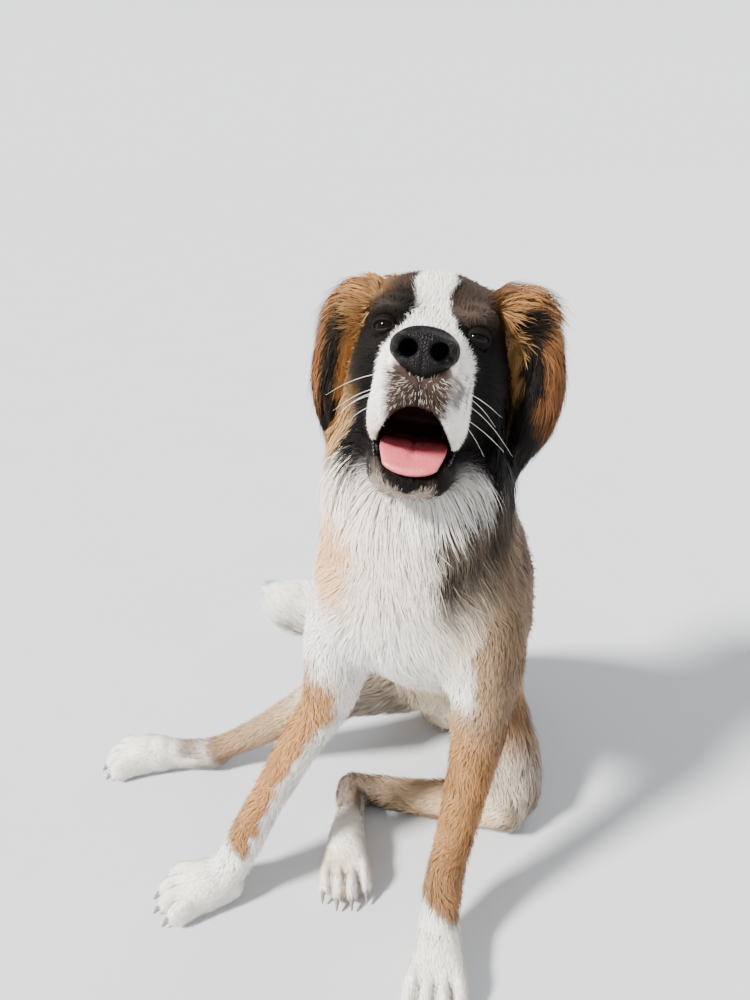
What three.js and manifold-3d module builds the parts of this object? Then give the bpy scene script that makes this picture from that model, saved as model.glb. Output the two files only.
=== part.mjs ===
// A life-size young Saint Bernard, sitting loosely on its left hip with both hind legs out in front,
// its head lifted and its mouth open.
// Millimetres, +Z up. Places are measured from a mark on the floor in front of the dog: x towards the
// dog's left, y towards its tail. The finished group is then moved so that the origin lies on the floor
// under the middle of the dog's bounding box, and the dog looks along -Y.
import * as THREE from "three";
import { mergeVertices } from "three/addons/utils/BufferGeometryUtils.js";
import Module from "manifold-3d";

const wasm = await Module();
wasm.setup();

const radians = THREE.MathUtils.degToRad;
const vector = (x, y, z) => new THREE.Vector3(x, y, z);
const UP = vector(0, 0, 1);

// Driving dimensions
const GAP = 0.3; // between touching nodes
const NOSE_TIP = vector(42, 639, 791);
const HEAD_LIFT = 24; // degrees that the muzzle points above the horizon
const HEAD_TURN = 5; // degrees towards the dog's right
const HEAD_TILT = 6.5; // degrees that the crown leans towards the dog's left
const JAW_HINGE = { a: 185, h: -25 }; // behind and below the nose tip, along the head's own axes
const JAW_OPEN = 35; // degrees between the head's axis and the lower jaw
const BODY_TURN = 18; // degrees that the chest faces towards the dog's right
const EYE_RADIUS = 13;
const EYE = { a: 113, s: 46, h: 41 };
const LID_THICKNESS = 3;
const FOREPAW_WIDTH = 88;
const HIND_PAW_WIDTH = 80;
const CLAW_RADIUS = 4.2;

// Long coat. inset is how far the solid core lies inside the tips, and rise how far a lock stands off it.
const COAT = {
  body: { inset: 14, length: 150, width: 102, rise: 13, sink: 10 },
  thigh: { inset: 10, length: 110, width: 88, rise: 9, sink: 9 },
  tail: { inset: 16, length: 130, width: 76, rise: 15, sink: 9 },
  ear: { inset: 0, length: 52, width: 30, rise: 3, sink: 7 },
  elbow: { inset: 0, length: 70, width: 28, rise: 7, sink: 8 },
};
const LOCK_SHAPE = [
  { share: -0.1, rise: null, width: 0.55, thick: 0.5 },
  { share: 0.32, rise: 0.55, width: 1, thick: 1 },
  { share: 0.7, rise: 1, width: 0.72, thick: 0.8 },
];
const LOCK_THICKNESS = 0.13; // of its width
const LOCK_GAP = 1.4; // between locks of two nodes
const CLOSING_LENGTH = 78; // over which locks that run past the end of a limb come together

const SIDES = { left: 1, right: -1 };
const BODY_LEFT = vector(Math.cos(radians(BODY_TURN)), -Math.sin(radians(BODY_TURN)), 0);

// The head's own axes: forward along the muzzle, left towards the dog's left ear, up through the crown.
const headAxes = (() => {
  const lift = radians(HEAD_LIFT);
  const turn = radians(HEAD_TURN);
  const tilt = radians(HEAD_TILT);
  const forward = vector(-Math.sin(turn) * Math.cos(lift), -Math.cos(turn) * Math.cos(lift), Math.sin(lift));
  const level = vector(Math.cos(turn), -Math.sin(turn), 0);
  const upright = vector().crossVectors(forward, level);
  const up = upright.clone().multiplyScalar(Math.cos(tilt)).addScaledVector(level, Math.sin(tilt));
  const left = level.clone().multiplyScalar(Math.cos(tilt)).addScaledVector(upright, -Math.sin(tilt));
  return { forward, up, left };
})();

// A point of the head: a behind the nose tip, s to the dog's left, h up.
const onHead = (a, s, h) =>
  NOSE_TIP.clone()
    .addScaledVector(headAxes.forward, -a)
    .addScaledVector(headAxes.left, s)
    .addScaledVector(headAxes.up, h);

// A point of the lower jaw: b from the hinge towards the chin, s to the left, k up towards the palate.
const onJaw = (b, s, k) => {
  const open = radians(JAW_OPEN);
  return onHead(
    JAW_HINGE.a - b * Math.cos(open) - k * Math.sin(open),
    s,
    JAW_HINGE.h - b * Math.sin(open) + k * Math.cos(open),
  );
};

// Rows of numbers turned into stations: a centre, then the section's sizes
const onFloor = (rows) => rows.map(([x, y, z, ...sizes]) => [vector(x, y, z), ...sizes]);
const headRows = (rows, side = 1) => rows.map(([a, s, h, ...sizes]) => [onHead(a, s * side, h), ...sizes]);
const jawRows = (rows, side = 1) => rows.map(([b, s, k, ...sizes]) => [onJaw(b, s * side, k), ...sizes]);

function solidOf(positions, triangles) {
  const mesh = new wasm.Mesh({
    numProp: 3,
    vertProperties: new Float32Array(positions),
    triVerts: new Uint32Array(triangles),
  });
  const made = new wasm.Manifold(mesh);
  return made.volume() > 0 ? made : solidOf(positions, [...triangles].reverse());
}

// Turns rings of points into one closed solid, with a fan over each end, the last one to tip if given.
function solidFromRings(rings, tip = null) {
  const sides = rings[0].length;
  const positions = rings.flat().flatMap((p) => [p.x, p.y, p.z]);
  const triangles = [];
  for (let r = 0; r + 1 < rings.length; r++) {
    for (let i = 0; i < sides; i++) {
      const a = r * sides + i;
      const b = r * sides + ((i + 1) % sides);
      triangles.push(a, b, b + sides, a, b + sides, a + sides);
    }
  }
  for (const ring of [0, rings.length - 1]) {
    const middle = positions.length / 3;
    let centre = rings[ring].reduce((sum, p) => sum.add(p), vector(0, 0, 0)).divideScalar(sides);
    if (ring > 0 && tip) centre = tip;
    positions.push(centre.x, centre.y, centre.z);
    for (let i = 0; i < sides; i++) {
      const a = ring * sides + i;
      const b = ring * sides + ((i + 1) % sides);
      triangles.push(...(ring === 0 ? [middle, b, a] : [middle, a, b]));
    }
  }
  return solidOf(positions, triangles);
}

// A rounded section's outline at an angle: an ellipse at power 2, squarer above it.
const superellipse = (angle, power) => {
  const round = (x) => Math.sign(x) * Math.abs(x) ** (2 / power);
  return [round(Math.cos(angle)), round(Math.sin(angle))];
};

// The line of a limb or trunk with its sections. Each station is [centre, half width along side,
// half depth across it]. Both are splined, so that at(t) gives the section at any share t of the line.
// Sections stand square to the line, or to facing where that is given.
function trunk(stations, side, power = 2, facing = null) {
  const curve = (points) => new THREE.CatmullRomCurve3(points, false, "catmullrom", 0.5);
  const line = curve(stations.map((s) => s[0]));
  const sizes = curve(stations.map((s) => vector(s[1], s[2], 0)));
  const at = (t) => {
    const along = facing ? facing.clone() : line.getTangent(t);
    const across = side.clone().addScaledVector(along, -side.dot(along)).normalize();
    const deep = vector().crossVectors(along, across);
    const { x: width, y: depth } = sizes.getPoint(t);
    return { centre: line.getPoint(t), along, across, deep, width, depth };
  };
  return { spans: stations.length - 1, power, at, length: line.getLength() };
}

// A closed solid along a trunk. cap is how far each end bulges past its last station.
function sweep(shape, { sides = 14, steps = 2, cap = [12, 12], bulges = [70, 35], grow = 0 } = {}) {
  const ring = (t, push, scale) => {
    const s = shape.at(t);
    const centre = s.centre.addScaledVector(s.along, push);
    return Array.from({ length: sides }, (_, i) => {
      const [c, d] = superellipse((2 * Math.PI * i) / sides, shape.power);
      return centre
        .clone()
        .addScaledVector(s.across, (s.width + grow) * scale * c)
        .addScaledVector(s.deep, (s.depth + grow) * scale * d);
    });
  };
  const angles = bulges.map(radians);
  const rings = [];
  for (const b of angles) rings.push(ring(0, -(cap[0] + grow) * Math.sin(b), Math.cos(b)));
  const spans = shape.spans * steps;
  for (let i = 0; i <= spans; i++) rings.push(ring(i / spans, 0, 1));
  for (const b of angles.reverse()) rings.push(ring(1, (cap[1] + grow) * Math.sin(b), Math.cos(b)));
  return solidFromRings(rings);
}

// The point of a trunk's surface at a share of its line and an angle round it, raised along its normal.
// Past an end of the line the surface closes towards the line.
function surface(shape, t, angle, raise) {
  const s = shape.at(THREE.MathUtils.clamp(t, 0, 1));
  const past = (t - THREE.MathUtils.clamp(t, 0, 1)) * shape.length;
  const close = Math.sqrt(Math.max(0, 1 - (past / CLOSING_LENGTH) ** 2));
  const [c, d] = superellipse(angle, shape.power);
  const normal = s.across.clone().multiplyScalar(c / s.width).addScaledVector(s.deep, d / s.depth).normalize();
  const point = s.centre
    .addScaledVector(s.across, s.width * c * close)
    .addScaledVector(s.deep, s.depth * d * close)
    .addScaledVector(s.along, past)
    .addScaledVector(normal, raise * close);
  return { point, normal, along: s.along };
}

// Whether a point lies inside a trunk
function inside(shape, point) {
  const shares = Array.from({ length: 21 }, (_, i) => i / 20);
  const distance = (t) => shape.at(t).centre.distanceTo(point);
  const s = shape.at(shares.reduce((a, b) => (distance(b) < distance(a) ? b : a)));
  const from = point.clone().sub(s.centre);
  return (from.dot(s.across) / s.width) ** 2 + (from.dot(s.deep) / s.depth) ** 2 < 1;
}

// A flat tapered lock of long coat. It is rooted in a trunk's core, bends over along the trunk, forwards
// where flow is 1 and backwards where it is -1, and swings round it by sway radians towards its tip.
function lock(shape, coat, { t, angle, flow, scale = 1, sway = 0 }) {
  const at = (share, raise) =>
    surface(
      shape,
      t + (flow * share * coat.length * scale) / shape.length,
      angle + sway * share,
      raise - coat.inset,
    );
  return (grow) => {
    const rings = LOCK_SHAPE.map(({ share, rise, width, thick }) => {
      const rooted = rise === null;
      const { point, normal, along } = rooted
        ? at(share - grow / coat.length, -coat.sink)
        : at(share, rise * coat.rise);
      const across = vector().crossVectors(along, normal).normalize();
      const half = (coat.width * scale * width) / 2 + grow;
      const ridge = coat.width * LOCK_THICKNESS * thick * scale + grow;
      const section = grow
        ? [[half, -grow], [half, grow], [0, ridge], [-half, grow], [-half, -grow]]
        : [[half, 0], [0, ridge], [-half, 0]];
      return section.map(([aside, high]) =>
        point.clone().addScaledVector(across, aside).addScaledVector(normal, high),
      );
    });
    return solidFromRings(rings, at(1 + (4 * grow) / coat.length, coat.rise * 0.9).point);
  };
}

// A ball stretched along the head's left, forward and up axes.
function headBall(centre, [rx, ry, rz], detail, grow = 0) {
  const g = new THREE.SphereGeometry(1, ...detail);
  g.deleteAttribute("normal");
  g.deleteAttribute("uv");
  g.scale(rx + grow, ry + grow, rz + grow);
  const { left, forward, up } = headAxes;
  g.applyMatrix4(new THREE.Matrix4().makeBasis(left, forward, up).setPosition(centre));
  const merged = mergeVertices(g, 1e-3);
  return solidOf(merged.getAttribute("position").array, merged.index.array);
}

const join = (...solids) => wasm.Manifold.union(solids.flat());
const cut = (solid, ...tools) => solid.subtract(join(...tools));
const largest = (solid) => solid.decompose().reduce((a, b) => (b.volume() > a.volume() ? b : a));
const aboveFloor = (solid) => solid.trimByPlane([0, 0, 1], 0);

// A flat joint between two nodes. ahead and behind keep one side of it, half the gap away from the
// plane, or nearer to the neighbour by grow.
function joint(point, normal) {
  const n = normal.clone().normalize();
  const offset = n.dot(point);
  return {
    side: (place) => n.dot(place) - offset,
    ahead: (solid, grow = 0) => solid.trimByPlane(n.toArray(), offset + GAP / 2 - grow),
    behind: (solid, grow = 0) => solid.trimByPlane(n.clone().negate().toArray(), -(offset - GAP / 2 + grow)),
  };
}

// Trunk of the body: rump, loin, ribs, shoulders and neck, as one line of sections
const BODY = trunk(
  onFloor([
    [162, 1112, 44, 92, 86],
    [148, 1076, 140, 116, 102],
    [130, 1018, 235, 116, 110],
    [108, 945, 325, 124, 122],
    [84, 876, 405, 132, 136],
    [64, 822, 475, 130, 140],
    [54, 797, 545, 114, 130],
    [53, 790, 610, 106, 119],
    [59, 804, 665, 98, 104],
    [65, 820, 705, 85, 84],
  ]),
  BODY_LEFT,
  2.2,
);
const WAIST = joint(BODY.at(0.36).centre, BODY.at(0.36).along);
const SHOULDER = joint(BODY.at(0.66).centre, BODY.at(0.66).along);
const THROAT = joint(vector(58, 790, 640), vector(0.1, -0.27, 0.96));

// Each foreleg from the shoulder past the elbow to the wrist, and its paw
const FORELEG = {
  left: onFloor([
    [98, 772, 530, 40, 58],
    [124, 740, 455, 50, 62],
    [132, 730, 390, 46, 56],
    [128, 718, 310, 36, 42],
    [116, 698, 240, 30, 33],
    [100, 678, 160, 26, 28],
    [88, 664, 100, 27, 28],
    [82, 642, 58, 27, 24],
  ]),
  right: onFloor([
    [-4, 802, 530, 40, 58],
    [-28, 786, 455, 50, 62],
    [-44, 782, 390, 46, 56],
    [-60, 778, 305, 36, 42],
    [-98, 766, 240, 30, 33],
    [-142, 746, 165, 26, 28],
    [-175, 729, 104, 27, 28],
    [-196, 724, 60, 27, 24],
  ]),
};
const FOREPAW = {
  left: { heel: vector(84, 640, 34), toes: vector(70, 556, 16) },
  right: { heel: vector(-204, 722, 34), toes: vector(-284, 704, 16) },
};

// Each hind leg: thigh from hip to knee, shank from knee to hock, foot from hock to toes
const THIGH = {
  left: onFloor([
    [170, 1050, 124, 62, 90],
    [196, 972, 108, 58, 92],
    [210, 902, 73, 54, 88],
    [208, 852, 53, 48, 65],
  ]),
  right: onFloor([
    [92, 1070, 138, 60, 84],
    [30, 1026, 158, 56, 82],
    [-30, 985, 164, 48, 68],
    [-66, 964, 158, 42, 52],
  ]),
};
const SHANK = {
  left: onFloor([
    [204, 842, 56, 44, 46],
    [150, 852, 40, 36, 38],
    [70, 870, 30, 30, 29],
    [0, 888, 25, 27, 25],
    [-34, 892, 24, 26, 25],
  ]),
  right: onFloor([
    [-72, 960, 156, 40, 46],
    [-120, 963, 122, 34, 38],
    [-185, 966, 80, 26, 28],
    [-240, 968, 48, 23, 24],
    [-272, 968, 27, 27, 25],
  ]),
};
const HINDFOOT = {
  left: { hock: vector(-38, 892, 25), heel: vector(-42, 790, 30), toes: vector(-42, 712, 16) },
  right: { hock: vector(-276, 968, 26), heel: vector(-362, 964, 31), toes: vector(-436, 960, 16) },
};

const TAIL = trunk(
  onFloor([
    [166, 1160, 64, 34, 34],
    [140, 1222, 42, 44, 40],
    [70, 1288, 34, 52, 46],
    [-20, 1340, 34, 53, 52],
    [-110, 1372, 37, 56, 52],
    [-190, 1388, 38, 54, 44],
  ]),
  UP,
);
const TAIL_JOINT = joint(TAIL.at(0.5).centre, TAIL.at(0.5).along);

// Head, with the muzzle as a node of its own
const MUZZLE = joint(onHead(94, 0, 0), headAxes.forward);
const SKULL = trunk(
  headRows([
    [10, 0, -14, 27, 27],
    [24, 0, -14, 37, 36],
    [45, 0, -13, 43, 39],
    [72, 0, -9, 46, 41],
    [94, 0, 0, 51, 46],
    [114, 0, 18, 60, 56],
    [138, 0, 37, 70, 68],
    [175, 0, 46, 77, 76],
    [215, 0, 44, 75, 73],
    [250, 0, 37, 61, 58],
  ]),
  headAxes.left,
  2.3,
  headAxes.forward.clone().negate(),
);
const flew = (side) =>
  trunk(
    headRows(
      [
        [20, 12, -30, 17, 18],
        [34, 21, -37, 18, 26],
        [58, 28, -42, 18, 33],
        [88, 33, -44, 18, 36],
        [118, 39, -43, 18, 34],
      ],
      side,
    ),
    headAxes.left,
  );
const MOUTH = trunk(
  headRows([
    [-6, 0, -92, 25, 48],
    [40, 0, -88, 31, 46],
    [80, 0, -78, 35, 42],
    [120, 0, -66, 36, 34],
    [150, 0, -52, 32, 26],
  ]),
  headAxes.left,
  2.4,
);
const NOSE = trunk(
  headRows([
    [1, 0, 1, 23, 18],
    [10, 0, 2, 30, 23],
    [20, 0, 5, 30, 23],
    [32, 0, 10, 23, 16],
  ]),
  headAxes.left,
  2.3,
);
const nostril = (side) =>
  trunk(headRows([[-8, 14, 1, 7, 8], [8, 15, 2, 7, 8], [18, 11, 4, 4, 5]], side), headAxes.left);
// The dog's left ear stands further off the cheek than the right
const EAR_ROWS = {
  left: [
    [172, 62, 86, 28, 18],
    [184, 95, 74, 42, 24],
    [198, 117, 30, 52, 29],
    [204, 115, -22, 48, 28],
    [204, 101, -66, 29, 16],
  ],
  right: [
    [172, 62, 84, 28, 18],
    [184, 86, 66, 42, 21],
    [198, 103, 24, 50, 22],
    [204, 101, -24, 46, 20],
    [204, 89, -64, 29, 13],
  ],
};
const ear = (side) => trunk(headRows(EAR_ROWS[side > 0 ? "left" : "right"], side), headAxes.forward);
const earCup = (side) =>
  trunk(
    headRows(
      [
        [190, 80, 32, 18, 8],
        [196, 86, 4, 26, 10],
        [202, 86, -26, 22, 8],
      ],
      side,
    ),
    headAxes.forward,
  );

// Lower jaw
const JAW = trunk(
  jawRows([
    [26, 0, -12, 50, 24],
    [66, 0, -11, 49, 21],
    [104, 0, -10, 47, 19],
    [134, 0, -9, 41, 16],
    [152, 0, -8, 31, 13],
  ]),
  headAxes.left,
  2.4,
);
const MOUTH_FLOOR = trunk(
  jawRows([
    [10, 0, 14, 36, 18],
    [100, 0, 12, 37, 16],
    [140, 0, 10, 29, 12],
  ]),
  headAxes.left,
  2.4,
);
const TONGUE = trunk(
  jawRows([
    [40, 0, 6, 30, 9],
    [90, 0, 8, 30, 8],
    [122, 0, 10, 29, 6],
    [138, 0, 6, 25, 5],
  ]),
  headAxes.left,
  2.2,
);

// One eyelid: a thin roll over the eyeball from its inner to its outer corner, above or below it
function lid(side, rise) {
  const eye = onHead(EYE.a, EYE.s * side, EYE.h);
  const reach = EYE_RADIUS + LID_THICKNESS * 0.4;
  const rows = [-70, -38, 0, 38, 70].map((degrees) => {
    const turn = radians(degrees);
    const height = rise * Math.cos(turn);
    const out = Math.sqrt(Math.max(0, 1 - Math.sin(turn) ** 2 - height ** 2));
    return [
      eye
        .clone()
        .addScaledVector(headAxes.left, reach * Math.sin(turn))
        .addScaledVector(headAxes.up, reach * height)
        .addScaledVector(headAxes.forward, reach * out * 0.9),
      LID_THICKNESS * 1.2,
      LID_THICKNESS,
    ];
  });
  return trunk(rows, headAxes.forward);
}

// A paw: its pad and four toes with their claws, from the heel to the tips of the toes
function paw({ heel, toes }, width) {
  const ahead = toes.clone().sub(heel).setZ(0).normalize();
  const across = vector().crossVectors(ahead, UP).normalize();
  const length = heel.distanceTo(toes);
  const point = (along, aside, height) =>
    vector(heel.x, heel.y, 0).addScaledVector(ahead, along).addScaledVector(across, aside).setZ(height);
  const pad = trunk(
    [
      [point(-8, 0, heel.z), width * 0.29, 28],
      [point(length * 0.3, 0, 30), width * 0.38, 32],
      [point(length * 0.62, 0, 24), width * 0.42, 26],
    ],
    across,
    2.4,
  );
  const digits = [[-1.5, 0.86], [-0.5, 1], [0.5, 1], [1.5, 0.86]].map(([place, reach]) => {
    const spread = (place * width) / 4.3;
    const tip = length * reach;
    return {
      toe: trunk(
        [
          [point(length * 0.42, spread * 0.72, 28), width * 0.1, 18],
          [point(tip - length * 0.17, spread * 0.95, 26), width * 0.13, 22],
          [point(tip, spread * 1.06, 14), width * 0.125, 16],
        ],
        across,
        2.2,
      ),
      claw: trunk(
        [
          [point(tip, spread * 1.06, 20), CLAW_RADIUS, CLAW_RADIUS * 1.4],
          [point(tip + 10, spread * 1.08, 15), CLAW_RADIUS * 0.8, CLAW_RADIUS * 1.1],
          [point(tip + 18, spread * 1.1, 8), CLAW_RADIUS * 0.4, CLAW_RADIUS * 0.5],
        ],
        across,
      ),
    };
  });
  return { pad, digits };
}

const pawForm = ({ pad, digits }, grow) => {
  const toes = digits.map(({ toe }) => sweep(toe, { sides: 7, steps: 1, cap: [6, 9], bulges: [45], grow }));
  return aboveFloor(join(sweep(pad, { sides: 10, steps: 1, cap: [14, 12], bulges: [50], grow }), toes));
};

// The uncut form of each node. grow moves its surface outwards, which is how it cuts a neighbour.
const forms = {};
const paws = {};

const bodySweep = (grow) =>
  sweep(BODY, { sides: 18, steps: 1, cap: [70, 20], grow: grow - COAT.body.inset });
const foreleg = (side, grow) => sweep(trunk(FORELEG[side], BODY_LEFT), { sides: 12, steps: 1, cap: [30, 18], grow });
const ELBOW = {};
for (const side of Object.keys(SIDES)) {
  const [, , upper, elbow, lower] = FORELEG[side].map((s) => s[0]);
  const along = upper.clone().sub(lower).normalize();
  ELBOW[side] = joint(elbow.clone().addScaledVector(along, 20), along);
}

const flews = (grow) =>
  Object.values(SIDES).map((side) =>
    sweep(flew(side), { sides: 8, steps: 1, cap: [8, 12], bulges: [50], grow }),
  );
const skull = (grow) => sweep(SKULL, { sides: 16, steps: 1, cap: [7, 26], bulges: [55], grow });

forms.rump = (grow) => aboveFloor(WAIST.behind(bodySweep(grow), grow));
forms.chest = (grow) => SHOULDER.behind(WAIST.ahead(bodySweep(grow), grow), grow);
forms.neck = (grow) => THROAT.behind(SHOULDER.ahead(bodySweep(grow), grow), grow);
forms.head = (grow) => {
  const pieces = [skull(grow), bodySweep(grow), flews(grow)];
  for (const side of Object.values(SIDES)) {
    pieces.push(headBall(onHead(158, 50 * side, -8), [34, 52, 52], [10, 7], grow));
    pieces.push(headBall(onHead(122, 38 * side, 62), [27, 24, 14], [10, 6], grow));
  }
  return MUZZLE.behind(THROAT.ahead(join(pieces.flat()), grow), grow);
};
forms.muzzle = (grow) => MUZZLE.ahead(join(skull(grow), flews(grow)), grow);
forms.jaw = (grow) => THROAT.ahead(sweep(JAW, { sides: 16, steps: 1, cap: [16, 10], grow }), grow);
forms.tongue = (grow) => sweep(TONGUE, { sides: 12, steps: 1, cap: [10, 8], grow });
forms.nose = (grow) => sweep(NOSE, { sides: 12, steps: 1, cap: [4, 6], bulges: [50], grow });

for (const [side, sign] of Object.entries(SIDES)) {
  const radius = EYE_RADIUS;
  forms[`eye_${side}`] = (grow) =>
    headBall(onHead(EYE.a, EYE.s * sign, EYE.h), [radius, radius, radius], [12, 8], grow);
  forms[`ear_${side}`] = (grow) => sweep(ear(sign), { sides: 10, steps: 1, cap: [10, 16], bulges: [55], grow });

  const { hock, heel, toes } = HINDFOOT[side];
  const instep = trunk(
    [
      [hock, 27, 24],
      [hock.clone().lerp(heel, 0.5), 26, 24],
      [heel, 30, 26],
    ],
    UP,
  );
  paws[`forepaw_${side}`] = paw(FOREPAW[side], FOREPAW_WIDTH);
  paws[`hindfoot_${side}`] = paw({ heel, toes }, HIND_PAW_WIDTH);
  forms[`forepaw_${side}`] = (grow) => pawForm(paws[`forepaw_${side}`], grow);
  forms[`hindfoot_${side}`] = (grow) =>
    aboveFloor(
      join(
        sweep(instep, { sides: 10, steps: 1, cap: [22, 4], bulges: [50], grow }),
        pawForm(paws[`hindfoot_${side}`], grow),
      ),
    );
  forms[`upperarm_${side}`] = (grow) => ELBOW[side].ahead(foreleg(side, grow), grow);
  forms[`foreleg_${side}`] = (grow) => ELBOW[side].behind(foreleg(side, grow), grow);
  forms[`thigh_${side}`] = (grow) =>
    aboveFloor(
      sweep(trunk(THIGH[side], BODY_LEFT), {
        sides: 14,
        steps: 1,
        cap: [30, 30],
        grow: grow - COAT.thigh.inset,
      }),
    );
  forms[`shank_${side}`] = (grow) =>
    aboveFloor(sweep(trunk(SHANK[side], UP), { sides: 12, steps: 1, cap: [20, 16], grow }));
}

const tailSweep = (grow) =>
  aboveFloor(sweep(TAIL, { sides: 10, steps: 1, cap: [30, 30], grow: grow - COAT.tail.inset }));
forms.tail_root = (grow) => TAIL_JOINT.behind(tailSweep(grow), grow);
forms.tail_tip = (grow) => TAIL_JOINT.ahead(tailSweep(grow), grow);

// Each claw stands out of its toe
for (const [name, { digits }] of Object.entries(paws)) {
  digits.forEach(({ claw }, i) => {
    forms[`claw_${name}_${i + 1}`] = (grow) => sweep(claw, { sides: 4, steps: 1, bulges: [], grow });
  });
}

// Which neighbours' grown forms each node is cut by
const TRUNK = ["rump", "chest", "neck"];
const cutBy = {
  head: ["eye_left", "eye_right"],
  muzzle: ["nose"],
  jaw: ["head", "muzzle", "tongue"],
  tongue: ["head"],
  tail_root: ["rump"],
};
for (const side of Object.keys(SIDES)) {
  cutBy[`ear_${side}`] = ["head", "neck", "chest"];
  cutBy[`upperarm_${side}`] = TRUNK;
  cutBy[`foreleg_${side}`] = ["chest", `forepaw_${side}`];
  cutBy[`thigh_${side}`] = ["rump", "chest", `shank_${side}`];
  cutBy[`shank_${side}`] = [`hindfoot_${side}`];
}
for (const name of Object.keys(paws)) {
  for (const i of [1, 2, 3, 4]) cutBy[`claw_${name}_${i}`] = [name];
}

// Openings cut into a node, and small forms joined to it after that
const mouth = sweep(MOUTH, { sides: 10, steps: 1, cap: [20, 14], bulges: [50] });
const hollows = {
  head: [mouth],
  muzzle: [mouth],
  jaw: [sweep(MOUTH_FLOOR, { sides: 12, steps: 1, cap: [8, 10] })],
  nose: [1, -1].map((side) => sweep(nostril(side), { sides: 6, steps: 1, cap: [2, 2], bulges: [45] })),
  ear_left: [sweep(earCup(1), { sides: 6, steps: 1, cap: [8, 8], bulges: [45] })],
  ear_right: [sweep(earCup(-1), { sides: 6, steps: 1, cap: [8, 8], bulges: [45] })],
};
const additions = {
  head: [1, -1].flatMap((side) =>
    [0.62, -0.5].map((rise) =>
      cut(
        sweep(lid(side, rise), { sides: 5, steps: 1, bulges: [] }),
        headBall(onHead(EYE.a, EYE.s * side, EYE.h), [EYE_RADIUS, EYE_RADIUS, EYE_RADIUS], [12, 8], GAP),
      ),
    ),
  ),
};

const WHITE = 0xeeebe6;
const TAN = 0xa87c52;
const BLACK = 0x231f1e;
const PINK = 0xd98a8c;
const HORN = 0x9a8d80;
const plainColour = (name) => {
  if (/^(nose|eye|jaw)/.test(name)) return BLACK;
  if (/^(head|muzzle|neck|forepaw|hindfoot|tail_tip)/.test(name)) return WHITE;
  if (name === "tongue") return PINK;
  return name.startsWith("claw") ? HORN : TAN;
};

// Seeded random numbers from -1 to 1
let seed = 20260;
function random() {
  seed = (seed * 16807) % 2147483647;
  return (2 * seed) / 2147483647 - 1;
}

// The locks of each node, as functions of grow, in the order in which they lie over one another
const coats = {};
const addLock = (name, made) => (coats[name] ??= []).push(made);
const QUARTER = Math.PI / 2;

// Shingled rows down the neck, chest and back: the dog's back is at one quarter turn, its belly at three
const ROW_PITCH = 102;
const rows = Math.round(BODY.length / ROW_PITCH);
const limbs = Object.keys(SIDES).flatMap((side) => [FORELEG, THIGH].map((limb) => trunk(limb[side], BODY_LEFT)));
for (let row = rows; row > 0; row--) {
  const t = (row + 0.15) / (rows + 0.6);
  const around = Math.round((2 * Math.PI * BODY.at(t).width) / (COAT.body.width * 0.92));
  for (let i = 0; i < around; i++) {
    const angle = ((i + (row % 2) / 2 + random() * 0.12) / around) * 4 * QUARTER;
    const place = { t: t + random() * 0.006, angle, flow: -1, scale: 1 + random() * 0.14, sway: random() * 0.12 };
    const { point, normal } = surface(BODY, place.t, angle, 0);
    const onHeadSide = THROAT.side(point) > 0;
    const besideMouth = onHeadSide && Math.sin(angle) < 0.1;
    const hidden = limbs.some((limb) => inside(limb, point)) || (normal.z < -0.5 && point.z < 260);
    if (hidden || besideMouth || point.z < 90) continue;
    const below = WAIST.side(point) < 0 ? "rump" : "chest";
    const above = onHeadSide ? "head" : "neck";
    addLock(SHOULDER.side(point) < 0 ? below : above, lock(BODY, COAT.body, place));
  }
}

// Brush of the tail
for (let row = 0; row < 4; row++) {
  for (let i = 0; i < 4; i++) {
    const angle = ((i + (row % 2) / 2 + random() * 0.15) / 4) * 4 * QUARTER;
    const place = { t: 0.08 + row * 0.25, angle, flow: 1, scale: 1 + random() * 0.15, sway: random() * 0.2 };
    const { point, normal } = surface(TAIL, place.t, angle, 0);
    if (normal.z < -0.55) continue;
    addLock(TAIL_JOINT.side(point) < 0 ? "tail_root" : "tail_tip", lock(TAIL, COAT.tail, place));
  }
}

for (const side of Object.keys(SIDES)) {
  // Breeches over the thigh
  const thigh = trunk(THIGH[side], BODY_LEFT);
  for (let row = 0; row < 2; row++) {
    for (let i = 0; i < 4; i++) {
      const angle = ((i + (row % 2) / 2) / 4) * 4 * QUARTER;
      const place = { t: 0.16 + row * 0.34, angle, flow: 1, scale: 1 + random() * 0.12, sway: random() * 0.2 };
      const { point, normal } = surface(thigh, place.t, angle, 0);
      if (normal.z > -0.4 && point.z > 40) addLock(`thigh_${side}`, lock(thigh, COAT.thigh, place));
    }
  }

  // Fringe along the back edge of the ear and over its tip
  const flap = ear(SIDES[side]);
  for (let i = 0; i < 4; i++) {
    const place = { t: 0.25 + i * 0.21, angle: 2 * QUARTER + random() * 0.2, flow: 1, scale: 1 + random() * 0.2 };
    addLock(`ear_${side}`, lock(flap, COAT.ear, place));
  }

  // Feathering down the back of the forearm
  const arm = trunk(FORELEG[side], BODY_LEFT);
  for (let i = 0; i < 3; i++) {
    const place = { t: 0.42 + i * 0.13, angle: 3 * QUARTER + random() * 0.4, flow: 1, scale: 1 - i * 0.11 };
    const above = ELBOW[side].side(surface(arm, place.t, place.angle, 0).point) > 0;
    addLock(`${above ? "upperarm" : "foreleg"}_${side}`, lock(arm, COAT.elbow, place));
  }
}

// The locks of a node, cut clear of every other node and of the locks that lie over them
const coatOrder = Object.keys(forms).filter((name) => coats[name]);
function coatOf(name) {
  const own = join(coats[name].map((made) => made(0)));
  const others = Object.keys(forms).filter((other) => other !== name && !other.startsWith("claw"));
  const later = coatOrder.slice(coatOrder.indexOf(name) + 1);
  const over = later.flatMap((other) => coats[other].map((made) => made(LOCK_GAP)));
  return aboveFloor(cut(own, others.map((other) => forms[other](GAP)), over));
}

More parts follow.
